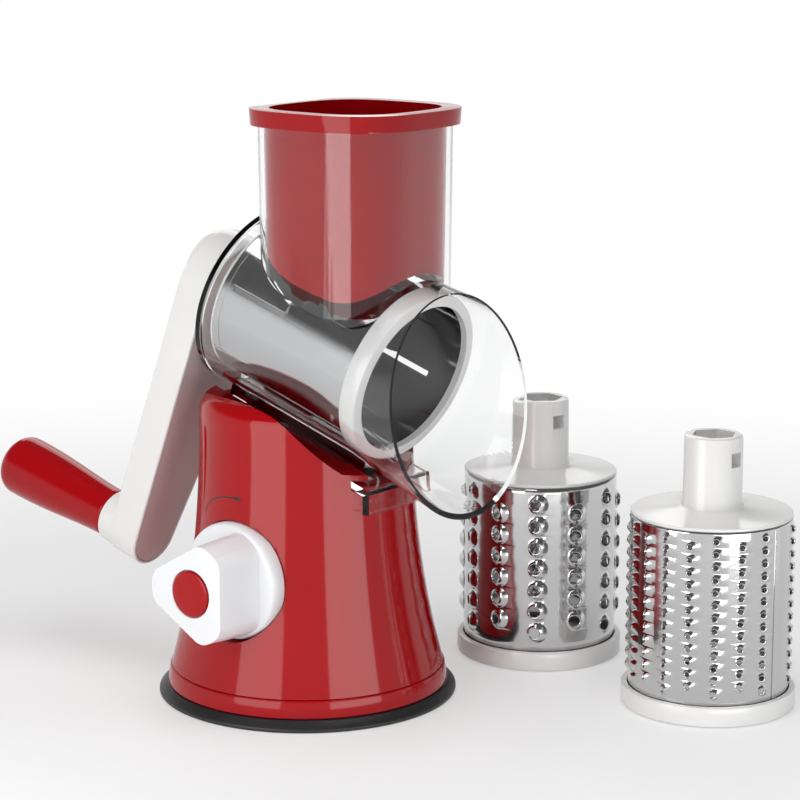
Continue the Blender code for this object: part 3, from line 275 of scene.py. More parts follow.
red_plastic = finish_of("red_plastic", (0.355, 0.0010, 0.0034), (0.385, 0.0018, 0.0050), 0.085, 700, 0.000012)
red_plastic.node_tree.nodes["Principled BSDF"].inputs["Specular IOR Level"].default_value = 0.28
ring = turned([(RING_BORE, RING_LOW), (RING_FOOT_RADIUS, RING_LOW), (RING_TOP_RADIUS, RING_HIGH),
               (RING_BORE, RING_HIGH)])
foot_ring = made("foot_ring", soften(ring, 0.0006), red_plastic, "base", ["base_ring"])


def shape_with(item, tool, operation="DIFFERENCE", place=None):
    """Cuts a shape out of a piece, or joins it on, and leaves the piece one plain mesh."""
    if place is not None:
        bmesh.ops.transform(tool, matrix=place, verts=tool.verts)
    solid = bmesh.new()
    solid.from_mesh(item.data)
    data = bpy.data.meshes.new("tool")
    for mesh, target in ((solid, item.data), (tool, data)):
        bmesh.ops.triangulate(mesh, faces=mesh.faces)
        mesh.to_mesh(target)
        mesh.free()
    cutter = bpy.data.objects.new("tool", data)
    bpy.context.scene.collection.objects.link(cutter)
    step = item.modifiers.new("shape", "BOOLEAN")
    step.operation = operation
    step.object = cutter
    step.solver = "EXACT"
    whole = bpy.data.meshes.new_from_object(item.evaluated_get(bpy.context.evaluated_depsgraph_get()))
    item.modifiers.clear()
    before = item.data
    item.data = whole
    bpy.data.meshes.remove(before)
    whole.name = item.name
    bpy.data.objects.remove(cutter)
    bpy.data.meshes.remove(data)


def edges_kept(item, sharp_deg=30):
    """Shades a cut piece smooth but for its real edges."""
    mesh = bmesh.new()
    mesh.from_mesh(item.data)
    bmesh.ops.remove_doubles(mesh, verts=mesh.verts, dist=0.00001)
    bmesh.ops.dissolve_degenerate(mesh, dist=0.00001, edges=mesh.edges)
    mesh.to_mesh(item.data)
    mesh.free()
    item.data.shade_smooth()
    item.data.set_sharp_from_angle(angle=math.radians(sharp_deg))


def at_screws(radius, low, high):
    """One round bar at each of the three base screws."""
    bars = bmesh.new()
    for number in range(3):
        turn = math.tau * number / 3 + math.pi / 2
        spot = Matrix.Translation((SCREW_CIRCLE * math.cos(turn), SCREW_CIRCLE * math.sin(turn),
                                   (low + high) / 2))
        bmesh.ops.create_cone(bars, cap_ends=True, segments=24, radius1=radius, radius2=radius,
                              depth=high - low, matrix=spot @ TOOL_TURN)
    return bars


shape_with(foot_ring, at_screws(SCREW_HOLE, UNDER_RING, OVER_RING))
shape_with(foot_ring, at_screws(SCREW_SINK_RADIUS, UNDER_RING, SCREW_SINK_TOP))
edges_kept(foot_ring, SMOOTH_DEG)


# Body.  One tapered shell moulded in glossy red plastic, scooped at the top for the clear barrel, with a
# slotted channel that the housing's foot slides into, and a round seat for the knob on its left flank.
BODY_FOOT = 0.0127
FLANK_TOP = 0.1245
TOP_RADIUS = 0.0460
FOOT_FLARE, FLARE_POWER = 0.0134, 2.25
SHOULDER = 0.0090
BODY_WALL = 0.0026
SCREW_BOSS_RADIUS, SCREW_BOSS_TOP = 0.0046, 0.0327
BODY_HOLE_TOP = 0.0226
SCOOP_RADIUS = 0.0500
NECK_SLOT_HALF, NECK_SLOT_TOP = 0.0127, 0.0439
PLATE_SLOT_HALF, PLATE_SLOT_TOP = 0.0205, 0.0461
SCOOP_HEIGHT, SCOOP_REACH = 0.0600, 0.1300
SEAT_RADIUS, SEAT_FLOOR, SEAT_FILLET = 0.0257, 0.0440, 0.0005
SHAFT_BORE, SHAFT_BORE_END = 0.0065, 0.0100
SLEEVE_RADIUS, SLEEVE_END, SLEEVE_ROOT = 0.0095, 0.0120, 0.0434
PAST_FLANK, FAR_PAST_FLANK = 0.0800, 0.1200
HOLLOW_OVERRUN = 0.002
UNDER_BOSSES, UNDER_BODY = 0.0060, 0.0100

drum_joint = joints["crank_turn"]
along = Vector(drum_joint["axis"]).normalized()
drum_axis = Matrix.Translation(drum_joint["pos_m"]) @ Matrix((
    (1, 0, along.x), (0, along.z, along.y), (0, -along.y, along.z))).to_4x4()
drum_up = drum_axis.to_3x3() @ Vector((0, 1, 0))
knob_height = joints["knob_turn"]["pos_m"][2]
knob_place = Matrix.Translation((0, 0, knob_height)) @ Matrix.Rotation(-math.pi / 2, 4, "Y")


def bar(radius, low, high, steps=112):
    """A round bar along Z."""
    return turned([(0, low), (radius, low), (radius, high), (0, high)], steps)


def flank(height, inset=0):
    """Radius of the body's flank at a height."""
    share = min(1, max(0, (height - BODY_FOOT) / (FLANK_TOP - BODY_FOOT)))
    return TOP_RADIUS + FOOT_FLARE * (1 - share) ** FLARE_POWER - inset


def half_section(inset, foot):
    """Axis, foot, flank, round shoulder and top of the body, drawn in by a wall."""
    points = [(0, foot)]
    for step in range(25):
        height = BODY_FOOT + (FLANK_TOP - BODY_FOOT) * step / 24
        points.append((flank(height, inset), foot if step == 0 else height))
    bend = SHOULDER - inset
    for step in range(1, 9):
        angle = math.pi / 16 * step
        points.append((TOP_RADIUS - SHOULDER + bend * math.cos(angle), FLANK_TOP + bend * math.sin(angle)))
    points.append((0, FLANK_TOP + bend))
    return points


def prism(outline, low, high):
    """A bar along Z with this outline."""
    mesh = bmesh.new()
    base = mesh.faces.new([mesh.verts.new((x, y, low)) for x, y in outline])
    raised = bmesh.ops.extrude_face_region(mesh, geom=[base])["geom"]
    top = [item for item in raised if isinstance(item, bmesh.types.BMVert)]
    bmesh.ops.translate(mesh, verts=top, vec=(0, 0, high - low))
    bmesh.ops.recalc_face_normals(mesh, faces=mesh.faces)
    return mesh


def trimmed(mesh, point, outward):
    """Takes off what lies beyond a plane and closes the cut."""
    bmesh.ops.bisect_plane(mesh, geom=mesh.verts[:] + mesh.edges[:] + mesh.faces[:], dist=MERGE,
                           plane_co=point, plane_no=outward, clear_outer=True)
    bmesh.ops.holes_fill(mesh, edges=[edge for edge in mesh.edges if edge.is_boundary])
    bmesh.ops.recalc_face_normals(mesh, faces=mesh.faces)
    return mesh


def loose(name, mesh):
    """A shape that later cuts or joins another."""
    data = bpy.data.meshes.new(name)
    mesh.to_mesh(data)
    mesh.free()
    item = bpy.data.objects.new(name, data)
    bpy.context.scene.collection.objects.link(item)
    return item


def taken(item):
    """The mesh of a loose shape, whose object is cleared away."""
    mesh = bmesh.new()
    mesh.from_mesh(item.data)
    data = item.data
    bpy.data.objects.remove(item)
    bpy.data.meshes.remove(data)
    return mesh


hollow = loose("hollow", trimmed(turned(half_section(BODY_WALL, BODY_FOOT - HOLLOW_OVERRUN), 120),
                                 drum_axis @ Vector((0, -SCOOP_RADIUS - BODY_WALL, 0)), drum_up))
shape_with(hollow, bar(SEAT_RADIUS + BODY_WALL, SEAT_FLOOR - BODY_WALL, PAST_FLANK, 96),
           place=knob_place @ TOOL_TURN)
shape_with(hollow, bar(SLEEVE_RADIUS, SLEEVE_END, SLEEVE_ROOT, 48), place=knob_place @ TOOL_TURN)
shape_with(hollow, at_screws(SCREW_BOSS_RADIUS, UNDER_BOSSES, SCREW_BOSS_TOP))

body = made("body_shell", turned(half_section(0, BODY_FOOT), 192), red_plastic, "base", ["base_body"])
shape_with(body, taken(hollow))
edge_angle = math.asin(NECK_SLOT_TOP / SCOOP_RADIUS)
right_side = []
for step in range(25):
    angle = -edge_angle * step / 24
    right_side.append((SCOOP_RADIUS * math.cos(angle), SCOOP_RADIUS * math.sin(angle)))
right_side += [(NECK_SLOT_HALF, -NECK_SLOT_TOP), (NECK_SLOT_HALF, -PLATE_SLOT_TOP),
               (PLATE_SLOT_HALF, -PLATE_SLOT_TOP), (PLATE_SLOT_HALF, -SCOOP_RADIUS)]
channel = ([(SCOOP_RADIUS, SCOOP_HEIGHT)] + right_side + [(-x, y) for x, y in reversed(right_side)]
           + [(-SCOOP_RADIUS, SCOOP_HEIGHT)])
shape_with(body, prism(channel, -SCOOP_REACH, SCOOP_REACH), place=drum_axis)
seat = turned([(0, SHAFT_BORE_END), (SHAFT_BORE, SHAFT_BORE_END), (SHAFT_BORE, SEAT_FLOOR),
               (SEAT_RADIUS - SEAT_FILLET, SEAT_FLOOR), (SEAT_RADIUS, SEAT_FLOOR + SEAT_FILLET),
               (SEAT_RADIUS, FAR_PAST_FLANK), (0, FAR_PAST_FLANK)], 112)
shape_with(body, seat, place=knob_place @ TOOL_TURN @ TOOL_TURN)
shape_with(body, at_screws(SCREW_HOLE, UNDER_BODY, BODY_HOLE_TOP))
edges_kept(body, 28)


# Turning mark.  A thin curved arrow printed in dark ink on the body beside the knob, which shows the way to
# turn it.  It is a film of ink a few hundredths of a millimetre thick.
INK_FILM = 0.00004
MARK_FLANK = 0.0472
LINE_HALF, HEAD_HALF, HEAD_FROM = 0.0003, 0.0013, 0.88

ink = finish_of("dark_ink", (0.030, 0.004, 0.006), (0.045, 0.006, 0.008), 0.4, 1500, 0.00001)
arrow = bmesh.new()
bmesh.ops.create_grid(arrow, x_segments=40, y_segments=2, size=0.5)
tail, crown, tip = Vector((154.4, 0.0838)), Vector((161.0, 0.0950)), Vector((185.5, 0.0936))
for vert in arrow.verts:
    share = vert.co.x + 0.5
    spot = tail * (1 - share) ** 2 + crown * 2 * share * (1 - share) + tip * share ** 2
    run = ((crown - tail) * (1 - share) + (tip - crown) * share) * 2
    run = Vector((math.radians(run.x) * MARK_FLANK, run.y)).normalized()
    half_width = LINE_HALF if share < HEAD_FROM else HEAD_HALF * (1 - share) / (1 - HEAD_FROM)
    side = vert.co.y * 2 * half_width
    height = spot.y + side * run.x
    angle = math.radians(spot.x) - side * run.y / MARK_FLANK
    radius = flank(height) + INK_FILM
    vert.co = (radius * math.cos(angle), radius * math.sin(angle), height)
bmesh.ops.remove_doubles(arrow, verts=arrow.verts, dist=MERGE)
bmesh.ops.recalc_face_normals(arrow, faces=arrow.faces)
made("turning_mark", arrow, ink, "base", None)


# Lift of the pad.  Inside the body a white plastic stem stands on the pad, with a window for the cam on the
# knob's shaft; steel screws hold the ring and the knob.  None of it shows from outside.
white_plastic = finish_of("white_plastic", (0.80, 0.795, 0.785), (0.84, 0.835, 0.825), 0.16, 800, 0.000015)
screw_steel = finish_of("screw_steel", (0.52, 0.52, 0.53), (0.62, 0.62, 0.63), 0.28, 1600, 0.00003, 60, 1.0)
for name, material in (("pad_stem", white_plastic), ("cam_shaft", white_plastic), ("knob_screw", screw_steel),
                       ("base_screw_a", screw_steel), ("base_screw_b", screw_steel),
                       ("base_screw_c", screw_steel), ("grip_pin", screw_steel)):
    data = frame["nodes"][name].data
    if not data.materials:
        data.materials.append(material)
    for number in range(len(data.materials)):
        data.materials[number] = material


# Suction knob.  A white plastic knob in one moulding: a round skirt that sits in the body's seat, and three
# blunt lobes for the fingers.  A red disc pressed into its front hides the screw.
SKIRT_RADIUS, SKIRT_BACK, SKIRT_FRONT = 0.0252, 0.0443, 0.0515
LOBE_REACH, LOBE_SPREAD_DEG = 0.0240, 34
LOBE_BACK, LOBE_FRONT, LOBE_TAPER = 0.0475, 0.0748, 0.925
LOBE_SIDE_ROUND, LOBE_RIM_ROUND = 0.0052, 0.0026
CAP_RADIUS, CAP_SEAT, CAP_RECESS = 0.0097, 0.0727, 0.0100
UNDER_KNOB = 0.0400

cool_white = finish_of("cool_white_plastic", (0.80, 0.81, 0.83), (0.84, 0.85, 0.87), 0.20, 800, 0.000015)
knob = made("suction_knob_moulding", soften(turned([
    (0, SKIRT_BACK), (SKIRT_RADIUS, SKIRT_BACK), (SKIRT_RADIUS, 0.0492), (0.0246, 0.0508),
    (0.0232, SKIRT_FRONT), (0, SKIRT_FRONT)]), 0.0004, 2), cool_white, "knob", ["suction_knob"],
    knob_place)
outline = []
for lobe in range(3):
    for share in (-0.5, 0, 0.5):
        angle = math.pi / 2 + lobe * math.tau / 3 + share * math.radians(LOBE_SPREAD_DEG)
        outline.append((LOBE_REACH * math.cos(angle), LOBE_REACH * math.sin(angle)))
lobes = prism(outline, LOBE_BACK, LOBE_FRONT)
front = [vert for vert in lobes.verts if vert.co.z > (LOBE_BACK + LOBE_FRONT) / 2]
bmesh.ops.scale(lobes, verts=front, vec=(LOBE_TAPER, LOBE_TAPER, 1))
upright = [edge for edge in lobes.edges if abs(edge.verts[0].co.z - edge.verts[1].co.z) > 0.01]
soften(lobes, LOBE_SIDE_ROUND, 7, upright)
rim = [edge for edge in lobes.edges if all(vert.co.z > LOBE_FRONT - 0.0001 for vert in edge.verts)]
soften(lobes, LOBE_RIM_ROUND, 5, rim)
shape_with(knob, lobes, "UNION", knob_place)
shape_with(knob, turned([(0, UNDER_KNOB), (0.0063, UNDER_KNOB), (0.0063, 0.0606), (0.0023, 0.0606),
                         (0.0023, 0.0636), (0.0047, 0.0636), (0.0047, CAP_SEAT), (CAP_RECESS, CAP_SEAT),
                         (CAP_RECESS, 0.0740), (0.0104, 0.0749), (0.0104, PAST_FLANK), (0, PAST_FLANK)], 96),
           place=knob_place @ TOOL_TURN)
edges_kept(knob)
cap = soften(turned([(0, 0.0730), (CAP_RADIUS, 0.0730), (CAP_RADIUS, 0.0752), (0.0089, 0.0755),
                     (0.0050, 0.0756), (0, 0.07565)], 96), 0.0002, 2)
made("knob_cap_disc", cap, red_plastic, "knob", ["knob_cap"], knob_place)


# Clear housing.  One moulding in clear plastic: a barrel round the drum, a square chute for the food, a back
# wall with the crank's bearing, a flared outlet, and a foot whose plate slides in the body's channel.
AXIS_TILT_DEG = 18.2
BARREL_RADIUS, BARREL_WALL, BARREL_FRONT = 0.0403, 0.0018, 0.0580
BARREL_BORE = BARREL_RADIUS - BARREL_WALL
BACK_OUTSIDE, BACK_INSIDE = -0.0257, -0.0241
BACK_RIM_RADIUS, BACK_RIM_FRONT, RIM_ROUND = 0.0409, -0.0217, 0.0004
BEARING_RADIUS, BEARING_BORE, BEARING_BACK, BEARING_ROUND = 0.0159, 0.0131, -0.0293, 0.0005
SPOUT_CENTRE, SPOUT_DROP, SPOUT_LEAN_DEG = 0.0877, 0.0011, 8.0
SPOUT_RIM_RADIUS, SPOUT_RIM_BORE, SPOUT_OVERRUN = 0.0465, 0.0451, 0.0020
CHUTE_HALF, CHUTE_WALL, CHUTE_CENTRE = 0.0359, 0.0017, -0.0281
CHUTE_POWER, CHUTE_DRAFT = 3.1, 0.0012
CHUTE_FOOT, CHUTE_TOP = 0.1242, 0.2483
CHUTE_ROOT, CHUTE_OVERRUN = 0.0020, 0.0020
BORE_BACK = -0.0320
NECK_HALF, NECK_FOOT, NECK_TOP, NECK_BACK = 0.0122, -0.04815, -0.0345, -0.0200
PLATE_HALF, PLATE_UNDER, PLATE_TOP, PLATE_BACK = 0.0200, -0.0497, -0.0466, -0.0160
LIP_FOOT, LIP_WALL, LIP_OVERHANG, LIP_GAP = 0.0887, 0.0032, 0.0003, 0.0005
NEAR_LIP = 0.0002

clear_plastic = finish_of("clear_plastic", (0.975, 0.980, 0.985), (0.985, 0.988, 0.990), 0.018, 500, 0.000006,
                          16)
shader = clear_plastic.node_tree.nodes["Principled BSDF"]
shader.inputs["Transmission Weight"].default_value = 1
shader.inputs["IOR"].default_value = 1.34
outlet = Matrix.Translation((0, -SPOUT_DROP, SPOUT_CENTRE)) @ Matrix.Rotation(
    -math.radians(AXIS_TILT_DEG + SPOUT_LEAN_DEG), 4, "X")


def barrel_of(points, rim_radius, rim_ahead, steps):
    """A round body along Z from its half section, drawn out to the leaning rim of the outlet."""
    mesh = bmesh.new()
    verts = [mesh.verts.new((radius, 0, height)) for radius, height in points]
    edges = [mesh.edges.new(pair) for pair in zip(verts, verts[1:])]
    bmesh.ops.spin(mesh, geom=verts + edges, cent=(0, 0, 0), axis=(0, 0, 1), angle=math.tau, steps=steps,
                   use_merge=True)
    bmesh.ops.remove_doubles(mesh, verts=mesh.verts, dist=MERGE)
    last_radius, last_height = points[-1]
    flat = Matrix.Scale(1 / last_radius, 4) @ Matrix.Translation((0, 0, -last_height))
    place = outlet @ Matrix.Translation((0, 0, rim_ahead)) @ Matrix.Scale(rim_radius, 4)
    end = [edge for edge in mesh.edges if edge.is_boundary]
    grown = bmesh.ops.extrude_edge_only(mesh, edges=end)["geom"]
    verts = [item for item in grown if isinstance(item, bmesh.types.BMVert)]
    bmesh.ops.transform(mesh, matrix=place @ flat, verts=verts)
    bmesh.ops.holes_fill(mesh, edges=[edge for edge in mesh.edges if edge.is_boundary])
    bmesh.ops.recalc_face_normals(mesh, faces=mesh.faces)
    return mesh


def chute_bar(half_width, low, high, draft=CHUTE_DRAFT, points=176):
    """An upright bar with the chute's outline, a square with bulging sides and round corners."""
    mesh = bmesh.new()
    bmesh.ops.create_circle(mesh, cap_ends=True, segments=points, radius=1)
    reach = half_width - draft
    for vert in mesh.verts:
        vert.co = (math.copysign(abs(vert.co.x) ** (2 / CHUTE_POWER), vert.co.x) * reach,
                   math.copysign(abs(vert.co.y) ** (2 / CHUTE_POWER), vert.co.y) * reach, low)
    raised = bmesh.ops.extrude_face_region(mesh, geom=mesh.faces[:])["geom"]
    top = [item for item in raised if isinstance(item, bmesh.types.BMVert)]
    bmesh.ops.translate(mesh, verts=top, vec=(0, 0, high - low))
    growth = half_width / reach
    bmesh.ops.scale(mesh, verts=top, vec=(growth, growth, 1))
    bmesh.ops.translate(mesh, verts=mesh.verts, vec=(0, CHUTE_CENTRE, 0))
    bmesh.ops.recalc_face_normals(mesh, faces=mesh.faces)
    return mesh


def upper_part(mesh, height):
    """Keeps what lies above a plane along the drum's axis."""
    return trimmed(mesh, drum_axis @ Vector((0, height, 0)), -drum_up)


def block(low, high):
    """A plain bar between two corners."""
    outline = [(low[0], low[1]), (high[0], low[1]), (high[0], high[1]), (low[0], high[1])]
    return prism(outline, low[2], high[2])


housing = made("housing_moulding", barrel_of([
    (0, BEARING_BACK), (BEARING_RADIUS - BEARING_ROUND, BEARING_BACK),
    (BEARING_RADIUS, BEARING_BACK + BEARING_ROUND), (BEARING_RADIUS, BACK_OUTSIDE),
    (BACK_RIM_RADIUS - RIM_ROUND, BACK_OUTSIDE), (BACK_RIM_RADIUS, BACK_OUTSIDE + RIM_ROUND),
    (BACK_RIM_RADIUS, BACK_RIM_FRONT - RIM_ROUND), (BACK_RIM_RADIUS - RIM_ROUND, BACK_RIM_FRONT),
    (BARREL_RADIUS, BACK_RIM_FRONT), (BARREL_RADIUS, BARREL_FRONT)], SPOUT_RIM_RADIUS, 0, 176),
    clear_plastic, "base", ["clear_housing"], drum_axis)
shape_with(housing, upper_part(chute_bar(CHUTE_HALF, CHUTE_FOOT, CHUTE_TOP), CHUTE_ROOT), "UNION")
neck = block((-NECK_HALF, NECK_FOOT, NECK_BACK), (NECK_HALF, NECK_TOP, BARREL_FRONT))
shape_with(housing, neck, "UNION", drum_axis)
lip_back = flank(LIP_FOOT) + LIP_GAP
lip_front = lip_back + LIP_WALL
plate = block((-PLATE_HALF, PLATE_UNDER, PLATE_BACK), (PLATE_HALF, PLATE_TOP, SPOUT_CENTRE))
bmesh.ops.transform(plate, matrix=drum_axis, verts=plate.verts)
plate = trimmed(plate, (0, -lip_front, 0), (0, -1, 0))
lip_top = max((vert.co.z for vert in plate.verts if vert.co.y < NEAR_LIP - lip_front))
shape_with(housing, plate, "UNION")
lip_half = PLATE_HALF + LIP_OVERHANG
shape_with(housing, block((-lip_half, -lip_front - LIP_OVERHANG, LIP_FOOT),
                          (lip_half, -lip_back, lip_top + LIP_OVERHANG)), "UNION")
shape_with(housing, barrel_of([
    (0, BORE_BACK), (BEARING_BORE, BORE_BACK), (BEARING_BORE, BACK_INSIDE), (BARREL_BORE, BACK_INSIDE),
    (BARREL_BORE, BARREL_FRONT)], SPOUT_RIM_BORE, SPOUT_OVERRUN, 168), place=drum_axis)
shape_with(housing, upper_part(chute_bar(CHUTE_HALF - CHUTE_WALL, CHUTE_FOOT, CHUTE_TOP + CHUTE_OVERRUN), 0))
edges_kept(housing)


# Food pusher.  A hollow red cup in the outline of the chute, with a collar that rests on the chute's rim and
# a floor curved to the drum.  It is one moulding, and its collar is cut back where the crank passes.
PUSHER_GAP, PUSHER_WALL = 0.0005, 0.0019
PUSHER_HALF = CHUTE_HALF - CHUTE_WALL - PUSHER_GAP
PUSHER_FOOT, CUP_TOP, ABOVE_CUP = 0.1645, 0.2489, 0.2600
PAST_BACK, PAST_SPOUT = -0.0800, 0.1400
SADDLE_RADIUS, FLOOR_RADIUS = 0.0420, 0.0439
COLLAR_HALF, COLLAR_LOW, COLLAR_TOP = 0.0391, 0.2486, 0.2555
COLLAR_DRAFT, COLLAR_CUT = 0.0004, -0.0350

pusher = made("pusher_cup", chute_bar(PUSHER_HALF, PUSHER_FOOT, CUP_TOP), red_plastic, "pusher",
              ["food_pusher"])
collar = trimmed(chute_bar(COLLAR_HALF, COLLAR_LOW, COLLAR_TOP, COLLAR_DRAFT),
                 drum_axis @ Vector((0, 0, COLLAR_CUT)), -along)
shape_with(pusher, soften(collar, 0.0011, 4), "UNION")
cup = loose("cup", chute_bar(PUSHER_HALF - PUSHER_WALL, PUSHER_FOOT, ABOVE_CUP))
shape_with(cup, bar(FLOOR_RADIUS, PAST_BACK, PAST_SPOUT, 168), place=drum_axis @ TOOL_TURN)
shape_with(pusher, taken(cup))
shape_with(pusher, bar(SADDLE_RADIUS, PAST_BACK, PAST_SPOUT, 168), place=drum_axis @ TOOL_TURN)
edges_kept(pusher)


# Slicing drum.  A sleeve of polished steel sheet with raised cutting slots, pressed between a white front
# ring and a white back plate, whose hollow stem goes through the bearing to the crank.
DRUM_RADIUS, DRUM_SHEET = 0.0346, 0.0008
DRUM_MIDDLE = 0.04675
SHEET_LOW, SHEET_HIGH = 0.0033, 0.0834
RING_LIP_BORE, RING_CUP_BORE = 0.0326, 0.0349
HUB_FRONT, PLATE_RIM = 0.0815, 0.0837
STEM_END, STEM_ROUND = 0.1179, 0.0113
HEX_BORE, HEX_DEPTH, HEX_MIDDLE = 0.0098, 0.0349, 0.10245
WINDOW_REACH, WINDOW_HALF, WINDOW_LOW, WINDOW_HIGH = 0.0252, 0.0031, 0.1052, 0.1114
DRUM_FRONT = 0.0628
SLOT_HALF, SLOT_STAGGER = 0.0145, 0.0330
CRANK_REST_DEG, SLOT_TURN_DEG = 9.0, 12.0

drum_steel = finish_of("drum_steel", (0.52, 0.52, 0.525), (0.60, 0.60, 0.605), 0.10, 260, 0.000005, 9, 1.0,
                       (1, 1, 0.12))
drum_ring_profile = [(RING_LIP_BORE, 0), (0.0360, 0), (0.0371, 0.0004), (0.0375, 0.0015), (0.0375, 0.0077),
                     (0.0372, 0.0083), (0.0367, 0.0085), (RING_CUP_BORE, 0.0085), (RING_CUP_BORE, 0.0030),
                     (RING_LIP_BORE, 0.0030)]


def hexagon(radius, length, middle):
    """A six-sided bar along Z."""
    mesh = bmesh.new()
    place = Matrix.Translation((0, 0, middle)) @ Matrix.Rotation(math.radians(30), 4, "Z")
    bmesh.ops.create_cone(mesh, cap_ends=True, segments=6, radius1=radius, radius2=radius, depth=length,
                          matrix=place)
    return mesh


def hub_of(name, place, body_name, node):
    """Back plate with the hollow six-sided drive stem and the two catch windows."""
    hub = turned([(0, HUB_FRONT), (0.0335, HUB_FRONT), (0.0335, PLATE_RIM), (0.0344, PLATE_RIM),
                  (DRUM_RADIUS, 0.0839), (DRUM_RADIUS, 0.0846), (0.0342, 0.0850), (0.0152, 0.0863),
                  (0.0134, 0.0870), (0.0127, 0.0885), (0.0125, 0.1165), (0.0122, 0.1175),
                  (STEM_ROUND, STEM_END), (0, STEM_END)], 128)
    item = made(name, hub, white_plastic, body_name, [node], place)
    shape_with(item, hexagon(HEX_BORE, HEX_DEPTH, HEX_MIDDLE), place=place)
    shape_with(item, block((-WINDOW_REACH, -WINDOW_HALF, WINDOW_LOW),
                           (WINDOW_REACH, WINDOW_HALF, WINDOW_HIGH)), place=place)
    edges_kept(item)


crank_rest = Matrix.Rotation(-math.radians(CRANK_REST_DEG), 4, "Z")
slicer_place = (drum_axis @ crank_rest @ Matrix.Translation((0, 0, DRUM_FRONT))
                @ Matrix.Rotation(math.pi, 4, "X"))
made("slicer_ring", turned(drum_ring_profile), white_plastic, "slicer_drum", ["slicer_drum_ring"],
     slicer_place)
hub_of("slicer_hub", slicer_place, "slicer_drum", "slicer_drum_hub")
sleeve = turned([(DRUM_RADIUS - DRUM_SHEET, SHEET_LOW), (DRUM_RADIUS, SHEET_LOW), (DRUM_RADIUS, SHEET_HIGH),
                 (DRUM_RADIUS - DRUM_SHEET, SHEET_HIGH)])
slicer = made("slicer_sleeve", sleeve, drum_steel, "slicer_drum", ["slicer_drum_shell"],
              slicer_place)
blades, slots = bmesh.new(), bmesh.new()
for number in range(6):
    centre = DRUM_MIDDLE + (number % 2 - 0.5) * SLOT_STAGGER
    low, high = centre - SLOT_HALF, centre + SLOT_HALF
    turn = Matrix.Rotation(math.tau * number / 6 + math.radians(SLOT_TURN_DEG), 4, "Z")
    wedge = prism([(0.0342, 0), (0.0356, 0), (0.0358, 0.0004), (0.0352, 0.0024), (0.0342, 0.0050)], low, high)
    slot = block((0.0318, -0.0026, low), (0.0370, -0.0003, high))
    for mesh, group in ((wedge, blades), (slot, slots)):
        bmesh.ops.transform(mesh, matrix=turn, verts=mesh.verts)
        data = bpy.data.meshes.new("part")
        mesh.to_mesh(data)
        mesh.free()
        group.from_mesh(data)
        bpy.data.meshes.remove(data)
shape_with(slicer, blades, "UNION", slicer_place)
shape_with(slicer, slots, "DIFFERENCE", slicer_place)
edges_kept(slicer)


# Grating drums.  Each is a rolled steel sheet punched from inside, so that every hole has a cutting lip
# raised on one side, in staggered rows.  The ends of the fine sheet lap in a narrow raised seam.
TOOTH_POINTS = 16
GRATER_SHEET = 0.0006
SEAM_HALF, SEAM_FACE, SEAM_LOW, SEAM_HIGH = 0.00125, 0.03495, 0.0088, 0.0830


def square_side(step):
    """One coordinate of the points of a square's outline, counted from the middle of a side."""
    return max(-1, min(1, (4 - min(step % TOOTH_POINTS, -step % TOOTH_POINTS)) / 2))


def punched_tooth(rings, half_width, half_height):
    """One tooth amid a flat cell of the sheet: rings from the hole's lip out to the cell's edge."""
    mesh = bmesh.new()
    bmesh.ops.create_circle(mesh, cap_ends=False, segments=TOOTH_POINTS, radius=1)
    edges = mesh.edges[:]
    for number, (centre, radius, left, right) in enumerate(rings):
        if number:
            grown = bmesh.ops.extrude_edge_only(mesh, edges=edges)["geom"]
            verts = [item for item in grown if isinstance(item, bmesh.types.BMVert)]
            edges = [item for item in grown if isinstance(item, bmesh.types.BMEdge) and item.is_boundary]
        else:
            verts = mesh.verts[:]
        for vert in verts:
            angle = math.atan2(vert.co.y, vert.co.x if not number else vert.co.x - rings[number - 1][0])
            lift = (left + right) / 2 + (right - left) / 2 * math.cos(angle)
            vert.co = (centre + radius * math.cos(angle), radius * math.sin(angle), lift)
    grown = bmesh.ops.extrude_edge_only(mesh, edges=edges)["geom"]
    for vert in [item for item in grown if isinstance(item, bmesh.types.BMVert)]:
        step = round(math.atan2(vert.co.y, vert.co.x - rings[-1][0]) / math.tau * TOOTH_POINTS)
        vert.co = (square_side(step) * half_width, square_side(step - 4) * half_height, 0)
    data = bpy.data.meshes.new("tooth")
    mesh.to_mesh(data)
    mesh.free()
    return data


